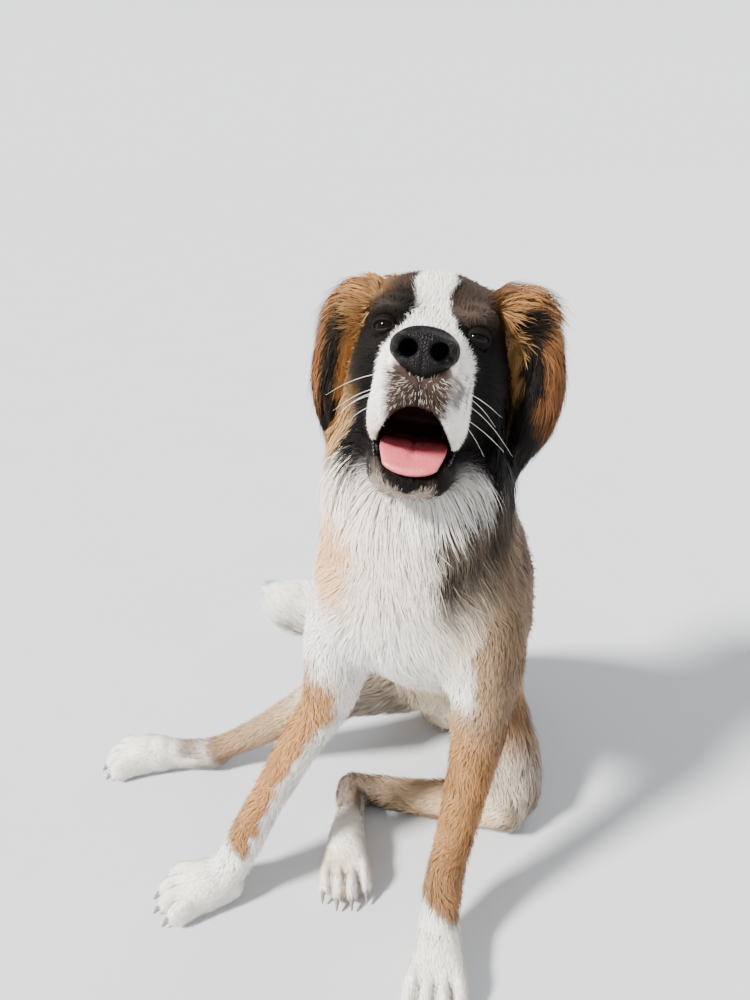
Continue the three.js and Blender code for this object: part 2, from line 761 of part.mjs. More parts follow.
const dog = new THREE.Group();
for (const [name, form] of Object.entries(forms)) {
  const tools = (cutBy[name] ?? []).map((other) => forms[other](GAP));
  let solid = form(0);
  if (tools.length || hollows[name]) solid = cut(solid, tools, hollows[name] ?? []);
  const extras = [...(additions[name] ?? []), ...(coats[name] ? [coatOf(name)] : [])];
  if (extras.length) solid = join(solid, extras);
  const { vertProperties, triVerts } = largest(solid).getMesh();
  const geometry = new THREE.BufferGeometry();
  geometry.setAttribute("position", new THREE.BufferAttribute(vertProperties, 3));
  geometry.setIndex(new THREE.BufferAttribute(triVerts, 1));
  geometry.computeVertexNormals();
  const material = new THREE.MeshStandardMaterial({ color: plainColour(name), roughness: 0.9, metalness: 0 });
  const mesh = new THREE.Mesh(geometry, material);
  mesh.name = name;
  dog.add(mesh);
}
const box = new THREE.Box3().setFromObject(dog);
const middle = box.getCenter(vector());
dog.position.set(-middle.x, -middle.y, -box.min.z);

export default dog;
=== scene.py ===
import bpy
import numpy as np
import openvdb as vdb
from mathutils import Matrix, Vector


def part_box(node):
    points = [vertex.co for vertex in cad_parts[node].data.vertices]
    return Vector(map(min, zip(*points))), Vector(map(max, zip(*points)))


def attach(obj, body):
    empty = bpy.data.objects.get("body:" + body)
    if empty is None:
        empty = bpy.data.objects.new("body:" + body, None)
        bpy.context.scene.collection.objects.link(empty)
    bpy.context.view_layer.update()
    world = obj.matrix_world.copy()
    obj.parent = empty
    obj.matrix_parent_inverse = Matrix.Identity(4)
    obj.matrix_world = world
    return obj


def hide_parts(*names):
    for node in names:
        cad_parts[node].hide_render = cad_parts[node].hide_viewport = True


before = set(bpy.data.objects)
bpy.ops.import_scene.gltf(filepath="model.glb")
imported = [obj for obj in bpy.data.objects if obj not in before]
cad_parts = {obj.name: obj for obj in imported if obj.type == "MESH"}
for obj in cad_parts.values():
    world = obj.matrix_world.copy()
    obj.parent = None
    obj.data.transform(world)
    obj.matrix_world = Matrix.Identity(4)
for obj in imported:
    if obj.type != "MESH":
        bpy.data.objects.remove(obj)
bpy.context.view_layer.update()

# The dog's pose and main sizes, in millimetres and degrees as everywhere up to the light
NOSE_TIP = np.array([42.0, 639.0, 791.0])
HEAD_LIFT = 24
HEAD_TURN = 5
HEAD_TILT = 6.5
JAW_HINGE = (185, -25)
JAW_OPEN = 35
BODY_TURN = 18
EYE_RADIUS = 13
EYE = (113, 46, 41)
CLAW_RADIUS = 4.2
FOREPAW_WIDTH = 88
HIND_PAW_WIDTH = 80

# Skin: its grid and how many cells distances reach on it, and the share of its triangles that are kept
VOXEL = 2.3
COARSE_VOXEL = 4.4
FINE_VOXEL = 1.0
BAND = 11
KEPT = 0.28
SKIN_LOW = np.array([-470.0, 540.0, 0.0])
SKIN_HIGH = np.array([300.0, 1460.0, 850.0])
FLOOR_GAP = 1.5
# The face, which keeps all its triangles, reaches this far behind the nose tip and lies above this height
FACE_END = 175
FACE_LOW = 560
# The mouth's reach back and aside, and the depth of its lips
MOUTH_END = 190
MOUTH_SIDE = 62
UPPER_LIP = 3.0
LOWER_LIP = 4.5

# Parts: how far from its line a part is looked for, and over how far it blends into its neighbours
PART_REACH = 45
PART_BLEND = 6.0
FAR_AWAY = 60.0
END_ROOM = 10

# Coat: most triangles of a piece, the size of a tuft's patch on the unwrapped skin, how deep tufts root,
# the lowest places of their lines and edges, and the shares of low and of stray tufts
MOST_FACES = 190_000
PATCH = 0.003
ROOT_DEPTH = 1.5
LOWEST_LINE = 0.5
LOWEST_EDGE = 0.3
LOW_TUFTS = 0.3
STRAY_TUFTS = 0.1
SQUARE_CM = 100

# Light and view, in metres and degrees
HORIZON = 2.05
SKY = 0.75
FLOOR_RADIUS = 40
CAMERA_HEIGHT = 0.95
CAMERA_DOWN = 25
CAMERA_LENS = 36

SIDES = {"left": 1, "right": -1}
UP = np.array([0.0, 0.0, 1.0])
turn = np.radians(BODY_TURN)
BODY_LEFT = np.array([np.cos(turn), -np.sin(turn), 0.0])


def unit(v):
    v = np.asarray(v, float)
    return v / np.maximum(np.linalg.norm(v, axis=-1, keepdims=True), 1e-9)


def head_axes():
    lift, turned, tilt = np.radians([HEAD_LIFT, HEAD_TURN, HEAD_TILT])
    forward = np.array([-np.sin(turned) * np.cos(lift), -np.cos(turned) * np.cos(lift), np.sin(lift)])
    level = np.array([np.cos(turned), -np.sin(turned), 0.0])
    upright = np.cross(forward, level)
    up = upright * np.cos(tilt) + level * np.sin(tilt)
    left = level * np.cos(tilt) - upright * np.sin(tilt)
    return forward, left, up


AHEAD, LEFT, CROWN = head_axes()


def on_head(a, s, h):
    """A point of the head: a behind the nose tip, s to the dog's left, h up."""
    return NOSE_TIP - a * AHEAD + s * LEFT + h * CROWN


def on_jaw(b, s, k):
    """A point of the lower jaw: b from the hinge towards the chin, s to the left, k towards the palate."""
    gape = np.radians(JAW_OPEN)
    a = JAW_HINGE[0] - b * np.cos(gape) - k * np.sin(gape)
    return on_head(a, s, JAW_HINGE[1] - b * np.sin(gape) + k * np.cos(gape))


def head_places(points):
    """Points as a, s and h of on_head"""
    q = points - NOSE_TIP
    return -q @ AHEAD, q @ LEFT, q @ CROWN


def to_frame():
    """From the drawing frame to the frame, by the place of the left eye"""
    low, high = (np.array(v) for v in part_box("eye_left"))
    return (low + high) / 2 - on_head(*EYE) / 1000


SHIFT = to_frame()


def step(x, low, high):
    """0 below low, 1 above high, smooth between"""
    x = np.clip((x - low) / (high - low), 0, 1)
    return x * x * (3 - 2 * x)


def fade(x, low, high):
    """1 below low, 0 above high, smooth between"""
    return 1 - step(x, low, high)


def within(x, low, high, soft):
    """1 between two values, with soft edges"""
    return step(x, low - soft, low + soft) * fade(x, high - soft, high + soft)


def corners_round(values, f, cell):
    """Linear interpolation between the eight corners of each point's cell, read by values"""
    total = 0
    for corner in np.ndindex(2, 2, 2):
        share = np.prod(np.where(corner, f, 1 - f), axis=1)
        total = total + share * values((cell + corner).T)
    return total


def noise(points, size, seed=1):
    """Smooth value noise from -1 to 1"""
    table = np.random.default_rng(seed).uniform(-1, 1, (16, 16, 16))
    q = points / size
    cell = np.floor(q).astype(int)
    f = q - cell
    return corners_round(lambda places: table[tuple(places % 16)], f * f * (3 - 2 * f), cell)


# Trunks: lines of rounded sections
def spline(knots, t):
    """Catmull-Rom values and slopes through knots at shares t of the line"""
    k = np.vstack([2 * knots[0] - knots[1], knots, 2 * knots[-1] - knots[-2]])
    spans = len(knots) - 1
    u = np.clip(t, 0, 1) * spans
    i = np.minimum(u.astype(int), spans - 1)
    f = (u - i)[:, None]
    a, b, c, d = k[i], k[i + 1], k[i + 2], k[i + 3]
    m0, m1 = (c - a) / 2, (d - b) / 2
    square, cube = 3 * (c - b) - 2 * m0 - m1, 2 * (b - c) + m0 + m1
    return b + m0 * f + square * f**2 + cube * f**3, m0 + 2 * square * f + 3 * cube * f**2


class Trunk:
    """Stations of centre, half width along side and half depth across it"""

    def __init__(self, stations, side, power=2.0, facing=None):
        self.knots = np.array([s[0] for s in stations], float)
        self.sizes = np.array([s[1:] for s in stations], float)
        self.side, self.power, self.facing = side, power, facing
        self.spans = len(stations) - 1
        self.t = np.linspace(0, 1, 14 * self.spans + 1)
        self.line = spline(self.knots, self.t)[0]
        self.length = np.linalg.norm(np.diff(self.line, axis=0), axis=1).sum()

    def at(self, t):
        centre, slope = spline(self.knots, t)
        along = unit(slope) if self.facing is None else np.broadcast_to(self.facing, slope.shape)
        across = unit(self.side - along * (along @ self.side)[:, None])
        return centre, along, across, np.cross(along, across), spline(self.sizes, t)[0]

    def locate(self, points):
        """Share of the line, angle round it, how far out (1 on the surface), and distance past its ends"""
        t = np.empty(len(points))
        for i in range(0, len(points), 20000):
            near = ((points[i : i + 20000, None] - self.line[None]) ** 2).sum(2)
            t[i : i + 20000] = self.t[near.argmin(1)]
        for _ in range(2):
            centre, along, *_ = self.at(t)
            t = np.clip(t + ((points - centre) * along).sum(1) / self.length, 0, 1)
        centre, along, across, deep, sizes = self.at(t)
        q = points - centre
        x, y = (q * across).sum(1) / sizes[:, 0], (q * deep).sum(1) / sizes[:, 1]
        out = (abs(x) ** self.power + abs(y) ** self.power) ** (1 / self.power)
        return t, np.arctan2(y, x) % (2 * np.pi), out, (q * along).sum(1)


def between_rings(count, sides):
    """Triangles between neighbouring closed rings of points"""
    i = np.arange(sides)
    j = (i + 1) % sides
    faces = []
    for r in range(count - 1):
        a, b = r * sides + i, r * sides + j
        faces += [np.stack([a, b, b + sides], 1), np.stack([a, b + sides, a + sides], 1)]
    return np.concatenate(faces)


def loft(rings):
    """Closed mesh of rings of points, with a fan over each end"""
    count, sides = rings.shape[:2]
    points = np.vstack([rings.reshape(-1, 3), rings[0].mean(0), rings[-1].mean(0)])
    i = np.arange(sides)
    j = (i + 1) % sides
    first, last = np.full(sides, count * sides), (count - 1) * sides
    fans = [np.stack([first, j, i], 1), np.stack([first + 1, last + i, last + j], 1)]
    return points, np.concatenate([between_rings(count, sides), *fans])


def sweep(trunk, cap=(12, 12), grow=0.0, sides=40, steps=8):
    """Closed mesh along a trunk, with a rounded cap past each end"""
    angle = np.linspace(0, 2 * np.pi, sides, endpoint=False)
    c, d = (np.sign(x) * abs(x) ** (2 / trunk.power) for x in (np.cos(angle), np.sin(angle)))
    bend = np.radians([84, 68, 50, 32, 15])
    t = np.linspace(0, 1, steps * trunk.spans + 1)
    shares = np.concatenate([np.zeros(5), t, np.ones(5)])
    scale = np.concatenate([np.cos(bend), np.ones(len(t)), np.cos(bend[::-1])])
    push = np.concatenate([-(cap[0] + grow) * np.sin(bend), 0 * t, (cap[1] + grow) * np.sin(bend[::-1])])
    centre, along, across, deep, sizes = trunk.at(shares)
    centre = (centre + along * push[:, None])[:, None]
    sizes = (sizes + grow) * scale[:, None]
    wide = across[:, None] * (sizes[:, 0:1] * c)[..., None]
    return loft(centre + wide + deep[:, None] * (sizes[:, 1:2] * d)[..., None])


def ball(centre, radii, axes=(LEFT, AHEAD, CROWN), rings=20, sides=32):
    """Stretched ball; radii lie along the axes"""
    polar = np.linspace(0, np.pi, rings + 2)[1:-1, None]
    angle = np.linspace(0, 2 * np.pi, sides, endpoint=False)[None]
    local = [np.sin(polar) * np.cos(angle), np.sin(polar) * np.sin(angle), np.cos(polar) + 0 * angle]
    return loft(centre + (np.stack(local, -1) * radii) @ np.array(axes))


# The dog's trunks, as in the solids. A row has a place, a half width and a half depth.
def on_floor(rows):
    return [(np.array(r[:3], float), *r[3:]) for r in rows]


def head_rows(rows, side=1):
    return [(on_head(a, s * side, h), *sizes) for a, s, h, *sizes in rows]


def jaw_rows(rows):
    return [(on_jaw(b, s, k), *sizes) for b, s, k, *sizes in rows]


BODY_ROWS = [
    (162, 1112, 44, 92, 86), (148, 1076, 140, 116, 102), (130, 1018, 235, 116, 110),
    (108, 945, 325, 124, 122), (84, 876, 405, 132, 136), (64, 822, 475, 130, 140),
    (54, 797, 545, 114, 130), (53, 790, 610, 106, 119), (59, 804, 665, 98, 104), (65, 820, 705, 85, 84),
]
TAIL_ROWS = [
    (166, 1160, 64, 34, 34), (140, 1222, 42, 44, 40), (70, 1288, 34, 52, 46),
    (-20, 1340, 34, 53, 52), (-110, 1372, 37, 56, 52), (-190, 1388, 38, 54, 44),
]
SKULL_ROWS = [
    (10, 0, -14, 27, 27), (24, 0, -14, 37, 36), (45, 0, -13, 43, 39), (72, 0, -9, 46, 41),
    (94, 0, 0, 51, 46), (114, 0, 18, 60, 56), (138, 0, 37, 70, 68), (175, 0, 46, 77, 76),
    (215, 0, 44, 75, 73), (250, 0, 37, 61, 58),
]
JAW_ROWS = [
    (26, 0, -12, 50, 24), (66, 0, -11, 49, 21), (104, 0, -10, 47, 19), (134, 0, -9, 41, 16),
    (152, 0, -8, 31, 13),
]
LIMB_ROWS = {
    "foreleg_left": [
        (98, 772, 530, 40, 58), (124, 740, 455, 50, 62), (132, 730, 390, 46, 56), (128, 718, 310, 36, 42),
        (116, 698, 240, 30, 33), (100, 678, 160, 26, 28), (88, 664, 100, 27, 28), (82, 642, 58, 27, 24),
    ],
    "foreleg_right": [
        (-4, 802, 530, 40, 58), (-28, 786, 455, 50, 62), (-44, 782, 390, 46, 56), (-60, 778, 305, 36, 42),
        (-98, 766, 240, 30, 33), (-142, 746, 165, 26, 28), (-175, 729, 104, 27, 28),
        (-196, 724, 60, 27, 24),
    ],
    "thigh_left": [
        (170, 1050, 124, 62, 90), (196, 972, 108, 58, 92), (210, 902, 73, 54, 88), (208, 852, 53, 48, 65),
    ],
    "thigh_right": [
        (92, 1070, 138, 60, 84), (30, 1026, 158, 56, 82), (-30, 985, 164, 48, 68), (-66, 964, 158, 42, 52),
    ],
    "shank_left": [
        (204, 842, 56, 44, 46), (150, 852, 40, 36, 38), (70, 870, 30, 30, 29), (0, 888, 25, 27, 25),
        (-34, 892, 24, 26, 25),
    ],
    "shank_right": [
        (-72, 960, 156, 40, 46), (-120, 963, 122, 34, 38), (-185, 966, 80, 26, 28),
        (-240, 968, 48, 23, 24), (-272, 968, 27, 27, 25),
    ],
}
FLEW_ROWS = [
    (20, 12, -30, 17, 18), (34, 21, -37, 18, 26), (58, 28, -42, 18, 33), (88, 33, -44, 18, 36),
    (118, 39, -43, 18, 34),
]
# The dog's left ear stands further off the cheek than the right
EAR_ROWS = {
    "left": [
        (172, 62, 86, 28, 18), (184, 95, 74, 42, 24), (198, 117, 30, 52, 29), (204, 115, -22, 48, 28),
        (204, 101, -66, 29, 16),
    ],
    "right": [
        (172, 62, 84, 28, 18), (184, 86, 66, 42, 21), (198, 103, 24, 50, 22), (204, 101, -24, 46, 20),
        (204, 89, -64, 29, 13),
    ],
}
MOUTH_ROWS = [
    (-6, 0, -92, 25, 48), (40, 0, -88, 31, 46), (80, 0, -78, 35, 42), (120, 0, -66, 36, 34),
    (150, 0, -52, 32, 26),
]
MOUTH_FLOOR_ROWS = [(10, 0, 14, 36, 18), (100, 0, 12, 37, 16), (140, 0, 10, 29, 12)]
TONGUE_ROWS = [
    (56, 0, -12, 26, 7), (82, 0, -3, 30, 8), (103, 0, 8, 33, 7.5), (124, 0, 11, 32, 6.5), (141, 0, 8, 27, 5),
]
NOSE_ROWS = [(1, 0, 1, 23, 18), (10, 0, 2, 30, 23), (20, 0, 5, 30, 23), (32, 0, 10, 23, 16)]
# Heel, tips of the toes and width of each paw, and the centres of the hocks
PAW_PLACES = {
    "forepaw_left": ((84, 640, 34), (70, 556, 16), FOREPAW_WIDTH),
    "forepaw_right": ((-204, 722, 34), (-284, 704, 16), FOREPAW_WIDTH),
    "hindfoot_left": ((-42, 790, 30), (-42, 712, 16), HIND_PAW_WIDTH),
    "hindfoot_right": ((-362, 964, 31), (-436, 960, 16), HIND_PAW_WIDTH),
}
HOCKS = {"left": (-38, 892, 25), "right": (-276, 968, 26)}


class Paw:
    """Pad and toes of a paw, and its claws, from the heel to the tips of the toes"""

    def __init__(self, heel, toes, width):
        heel, toes = np.array(heel, float), np.array(toes, float)
        ahead = unit((toes - heel) * [1, 1, 0])
        across = unit(np.cross(ahead, UP))
        length = np.linalg.norm(toes - heel)

        def trunk(power, *rows):
            """A trunk whose places are along the paw, aside and up"""
            stations = []
            for along, aside, height, *sizes in rows:
                stations.append((heel * [1, 1, 0] + ahead * along + across * aside + UP * height, *sizes))
            return Trunk(stations, across, power)

        self.pad = trunk(
            2.4,
            (-8, 0, heel[2], width * 0.29, 28),
            (length * 0.3, 0, 30, width * 0.38, 32),
            (length * 0.62, 0, 24, width * 0.42, 26),
        )
        self.line = trunk(
            2.2,
            (-8, 0, heel[2], width * 0.35, 28),
            (length * 0.5, 0, 26, width * 0.46, 28),
            (length, 0, 18, width * 0.42, 22),
        )
        self.toes, self.claws = [], []
        radius = CLAW_RADIUS
        for place, reach in ((-1.5, 0.86), (-0.5, 1), (0.5, 1), (1.5, 0.86)):
            spread, tip = place * width / 4.3, length * reach
            toe = trunk(
                2.2,
                (length * 0.42, spread * 0.72, 28, width * 0.1, 18),
                (tip - length * 0.17, spread * 0.95, 26, width * 0.13, 22),
                (tip, spread * 1.06, 14, width * 0.125, 16),
            )
            claw = trunk(
                2.0,
                (tip - 6, spread * 1.05, 22, radius * 0.9, radius * 1.3),
                (tip + 3, spread * 1.06, 21, radius, radius * 1.4),
                (tip + 11, spread * 1.08, 16, radius * 0.75, radius * 1.05),
                (tip + 18, spread * 1.1, 8, radius * 0.3, radius * 0.4),
            )
            self.toes.append(toe)
            self.claws.append(claw)


MOUTH = Trunk(head_rows(MOUTH_ROWS), LEFT, 2.4)
MOUTH_FLOOR = Trunk(jaw_rows(MOUTH_FLOOR_ROWS), LEFT, 2.4)
TONGUE = Trunk(jaw_rows(TONGUE_ROWS), LEFT, 2.2)
NOSE = Trunk(head_rows(NOSE_ROWS), LEFT, 2.3)
PAWS = {name: Paw(*places) for name, places in PAW_PLACES.items()}
TRUNKS = {
    "body": Trunk(on_floor(BODY_ROWS), BODY_LEFT, 2.2),
    "head": Trunk(head_rows(SKULL_ROWS), LEFT, 2.3, -AHEAD),
    "jaw": Trunk(jaw_rows(JAW_ROWS), LEFT, 2.4),
    "tail": Trunk(on_floor(TAIL_ROWS), UP),
}
for name, rows in LIMB_ROWS.items():
    TRUNKS[name] = Trunk(on_floor(rows), UP if name.startswith("shank") else BODY_LEFT)
for side, sign in SIDES.items():
    TRUNKS[f"ear_{side}"] = Trunk(head_rows(EAR_ROWS[side], sign), AHEAD)
    TRUNKS[f"flew_{side}"] = Trunk(head_rows(FLEW_ROWS, sign), LEFT)
    hock, heel = np.array(HOCKS[side], float), np.array(PAW_PLACES[f"hindfoot_{side}"][0], float)
    TRUNKS[f"instep_{side}"] = Trunk([(hock, 27, 24), ((hock + heel) / 2, 26, 24), (heel, 30, 26)], UP)
for name, paw in PAWS.items():
    TRUNKS[name] = paw.line

# Each kind of part: the coat's depth, the length and width of a tuft, how many stand on a square
# centimetre, and the part's place and size on the unwrapped skin, where a right twin lies half further on
DEPTH, LENGTH, WIDTH, DENSITY, PLACE = range(5)
KINDS = {
    "body": (13, 46, 1.0, 17, (0.0, 0.0, 0.56, 0.5)),
    "head": (4, 12, 0.8, 46, (0.58, 0.0, 0.42, 0.3)),
    "jaw": (2.5, 9, 0.7, 46, (0.58, 0.32, 0.2, 0.12)),
    "tail": (17, 72, 1.3, 16, (0.8, 0.32, 0.2, 0.16)),
    "ear": (6, 34, 0.9, 35, (0.0, 0.52, 0.1, 0.2)),
    "flew": (2.5, 6, 0.7, 50, (0.38, 0.52, 0.1, 0.2)),
    "foreleg": (7, 17, 0.95, 20, (0.12, 0.52, 0.12, 0.2)),
    "thigh": (11, 38, 1.2, 14, (0.26, 0.52, 0.1, 0.2)),
    "shank": (7, 16, 1.0, 18, (0.0, 0.74, 0.1, 0.14)),
    "instep": (5, 11, 0.9, 22, (0.12, 0.74, 0.1, 0.14)),
    "forepaw": (3, 8, 0.85, 25, (0.24, 0.74, 0.1, 0.14)),
    "hindfoot": (3, 8, 0.85, 25, (0.36, 0.74, 0.1, 0.14)),
}
SINGLE = list(KINDS)[:4]
NAMES = SINGLE + [f"{kind}_{side}" for side in SIDES for kind in list(KINDS)[4:]]
KIND_OF = np.array([name.split("_")[0] for name in NAMES])
# Parts whose coat lies towards the start of their line
BACKWARDS = ("body", "jaw")


def nose_core(grow=0.0):
    """The nose's body, narrower towards the lip"""
    points, triangles = sweep(NOSE, (4, 6), grow, 56, 10)
    a, s, h = head_places(points)
    lower = step(-(h - 0.3 * a), 2, 22)
    return points - LEFT * (s * 0.42 * lower)[:, None], triangles


def rounded(own, other, blend):
    """The smaller of two distances, rounded where they are within blend of each other"""
    shared = np.maximum(blend - abs(own - other), 0)
    return np.minimum(own, other) - (shared**2 / (4 * blend) if blend else 0)


def block_at(start, shape):
    return tuple(slice(i, i + n) for i, n in zip(start, shape))


class Field:
    """Signed distances in millimetres on a grid, joined and cut with rounded edges"""

    def __init__(self, low, high, voxel=VOXEL):
        self.voxel = voxel
        self.start = np.floor(np.array(low) / voxel).astype(int) - BAND
        shape = np.ceil(np.array(high) / voxel).astype(int) + BAND - self.start
        self.values = np.full(shape, BAND * voxel, np.float32)

    def block(self, mesh):
        points, triangles = mesh
        grid = vdb.FloatGrid.createLevelSetFromPolygons(
            (points / self.voxel).astype(np.float32), triangles=triangles.astype(np.uint32), halfWidth=BAND
        )
        low, high = (np.array(v) for v in grid.evalActiveVoxelBoundingBox())
        low = np.maximum(low, self.start)
        high = np.minimum(high, self.start + self.values.shape - 1)
        values = np.empty(high - low + 1, np.float32)
        grid.copyToArray(values, ijk=tuple(int(v) for v in low))
        return block_at(low - self.start, values.shape), np.clip(values, -BAND, BAND) * self.voxel

    def join(self, mesh, blend=0.0):
        part, other = self.block(mesh)
        self.values[part] = rounded(self.values[part], other, blend)

    def cut(self, mesh, blend=0.0):
        part, other = self.block(mesh)
        self.values[part] = -rounded(-self.values[part], other, blend)

    def merge(self, field, blend):
        """Joins a smaller field on the same grid"""
        part = block_at(field.start - self.start, field.values.shape)
        self.values[part] = rounded(self.values[part], field.values, blend)

    def surface(self):
        grid = vdb.FloatGrid(BAND * self.voxel)
        grid.copyFromArray(self.values, ijk=tuple(int(v) for v in self.start))
        points, triangles, quads = grid.convertToPolygons(isovalue=0.0, adaptivity=0.0)
        quads = quads.astype(int)
        triangles = np.concatenate([triangles.astype(int), quads[:, [0, 1, 2]], quads[:, [0, 2, 3]]])
        return points * self.voxel, triangles

    def read(self, points):
        """Distances at points, by linear interpolation"""
        q = np.clip(points / self.voxel - self.start, 0, np.array(self.values.shape) - 1.001)
        cell = q.astype(int)
        return corners_round(lambda places: self.values[tuple(places)], (q - cell).astype(np.float32), cell)

    def normal(self, points):
        reach = self.voxel
        sides = [self.read(points + reach * e) - self.read(points - reach * e) for e in np.eye(3)]
        return unit(np.stack(sides, 1))


# The skin lies inside the tips of the coat by its depth
def skin_field():
    skin = Field(SKIN_LOW, SKIN_HIGH)

    def join(name, cap, blend, *detail):
        skin.join(sweep(TRUNKS[name], cap, -KINDS[name.split("_")[0]][DEPTH], *detail), blend)

    join("body", (70, 20), 0.0, 56, 10)
    for side in SIDES:
        join(f"thigh_{side}", (30, 30), 24)
        join(f"foreleg_{side}", (30, 18), 24)
        join(f"shank_{side}", (20, 16), 16)
        join(f"instep_{side}", (22, 4), 10)
    for name, paw in PAWS.items():
        depth = KINDS[name.split("_")[0]][DEPTH]
        skin.join(sweep(paw.pad, (14, 12), -depth), 12)
        for toe in paw.toes:
            skin.join(sweep(toe, (6, 9), -depth), 5)
    join("tail", (30, 30), 14)
    join("head", (7, 26), 24)
    for side, sign in SIDES.items():
        # Cheek and brow
        skin.join(ball(on_head(158, 50 * sign, -8), (30, 48, 48)), 24)
        skin.join(ball(on_head(122, 38 * sign, 62), (25, 22, 12)), 10)
        join(f"flew_{side}", (8, 12), 10)
        join(f"ear_{side}", (10, 16), 6)
    skin.cut(sweep(MOUTH, (20, 14)), 5)
    jaw = Field(on_head(170, 0, -60) - 130, on_head(100, 0, -110) + 130)
    jaw.join(sweep(TRUNKS["jaw"], (16, 10), -KINDS["jaw"][DEPTH]))
    jaw.cut(sweep(MOUTH_FLOOR, (8, 10)), 6)
    skin.merge(jaw, 6)
    skin.cut(nose_core(-0.5), 1)
    a, s, h = EYE
    for sign in SIDES.values():
        skin.cut(ball(on_head(a, s * sign, h), (EYE_RADIUS + 0.8,) * 3), 2)
    floor = int(np.ceil(FLOOR_GAP / VOXEL)) - skin.start[2]
    skin.values[:, :, :floor] = np.maximum(skin.values[:, :, :floor], 1.0)
    return skin


def to_mesh(name, points, triangles, colours=None, normals=None, look=None):
    """Mesh object of points in the drawing frame"""
    mesh = bpy.data.meshes.new(name)
    mesh.vertices.add(len(points))
    mesh.vertices.foreach_set("co", (points / 1000 + SHIFT).astype(np.float32).ravel())
    mesh.loops.add(triangles.size)
    mesh.loops.foreach_set("vertex_index", triangles.astype(np.int32).ravel())
    mesh.polygons.add(len(triangles))
    mesh.polygons.foreach_set("loop_start", np.arange(0, triangles.size, 3, dtype=np.int32))
    mesh.update(calc_edges=True)
    mesh.shade_smooth()
    if normals is not None:
        mesh.normals_split_custom_set_from_vertices(normals.astype(np.float32))
    if colours is not None:
        tint = mesh.color_attributes.new("tint", "FLOAT_COLOR", "POINT")
        rgba = np.ones((len(colours), 4))
        rgba[:, : colours.shape[1]] = colours
        tint.data.foreach_set("color", rgba.astype(np.float32).ravel())
    if look is not None:
        mesh.materials.append(look)
    piece = bpy.data.objects.new(name, mesh)
    bpy.context.scene.collection.objects.link(piece)
    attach(piece, "root")
    return piece


def thinned(points, triangles, keep, weight):
    """Collapses edges until keep of the triangles are left, mostly where weight is 1"""
    piece = to_mesh("thinning", points, triangles)
    group = piece.vertex_groups.new(name="thin")
    for i in np.flatnonzero(weight > 0.5).tolist():
        group.add([i], 1.0, "REPLACE")
    modifier = piece.modifiers.new("thin", "DECIMATE")
    modifier.ratio = keep
    modifier.vertex_group = group.name
    done = bpy.data.meshes.new_from_object(piece.evaluated_get(bpy.context.evaluated_depsgraph_get()))
    points = np.empty(len(done.vertices) * 3, np.float32)
    done.vertices.foreach_get("co", points)
    corners = np.empty(len(done.loops), np.int32)
    done.loops.foreach_get("vertex_index", corners)
    mesh = piece.data
    bpy.data.objects.remove(piece)
    bpy.data.meshes.remove(mesh)
    bpy.data.meshes.remove(done)
    return (points.reshape(-1, 3) - SHIFT) * 1000, corners.reshape(-1, 3)


class Sites:
    """For each of many points: its share of every part, its place along and round each, and its noises"""

    def __init__(self, points):
        self.points = points
        n = len(points)
        self.t, self.angle = np.zeros((2, len(NAMES), n), np.float32)
        away = np.full((len(NAMES), n), FAR_AWAY, np.float32)
        self.flow = np.zeros((len(NAMES), n, 3), np.float32)
        for i, name in enumerate(NAMES):
            trunk = TRUNKS[name]
            reach = trunk.sizes.max() + PART_REACH
            low, high = trunk.line.min(0) - reach, trunk.line.max(0) + reach
            near = np.flatnonzero(((points > low) & (points < high)).all(1))
            if not len(near):
                continue
            t, angle, out, past = trunk.locate(points[near])
            _, along, _, _, sizes = trunk.at(t)
            gap = (out - 1) * sizes.mean(1) + KINDS[KIND_OF[i]][DEPTH]
            beside = np.hypot(np.maximum(gap, 0), np.maximum(abs(past) - END_ROOM, 0))
            away[i, near] = beside + np.minimum(gap, 0)
            self.t[i, near], self.angle[i, near] = t, angle
            self.flow[i, near] = -along if name in BACKWARDS else along
        share = np.exp(-(away - away.min(0)) / PART_BLEND)
        self.share = share / share.sum(0)
        self.part = self.share.argmax(0)
        self.wobble = noise(points, 17, 2) + 0.5 * noise(points, 7, 3)
        self.fine = noise(points, 3.1, 4)

    def of(self, name):
        i = NAMES.index(name)
        return self.share[i], self.t[i], self.angle[i]

    def mix(self, column):
        """Numbers of the kinds, blended where parts meet"""
        return np.array([KINDS[kind][column] for kind in KIND_OF]) @ self.share

    def round_body(self):
        """Degrees round the body from -180 to 180, 0 in front and rising towards the dog's left"""
        return (np.degrees(self.of("body")[2]) - 270 + 180) % 360 - 180


# Colours, linear
WHITE = np.array([0.86, 0.83, 0.78])
CREAM = np.array([0.74, 0.62, 0.46])
PALE = np.array([0.58, 0.42, 0.26])
FAWN = np.array([0.30, 0.205, 0.125])
GOLD = np.array([0.56, 0.31, 0.12])
TAN = np.array([0.36, 0.18, 0.07])
BROWN = np.array([0.16, 0.085, 0.042])
RUST = np.array([0.26, 0.11, 0.042])
SABLE = np.array([0.060, 0.040, 0.030])
BLACK = np.array([0.0045, 0.0036, 0.0034])
GREY = np.array([0.19, 0.15, 0.125])
LIP = np.array([0.010, 0.0075, 0.0075])
# The palate's colour, darkened to stand in for the shade inside the mouth
SHADED_PALATE = np.array([0.055, 0.016, 0.016])


def layered(colours, *layers):
    """Colours laid over one another, each by its share"""
    for over, share in layers:
        share = np.clip(share, 0, 1)[:, None]
        colours = colours * (1 - share) + over * share
    return colours


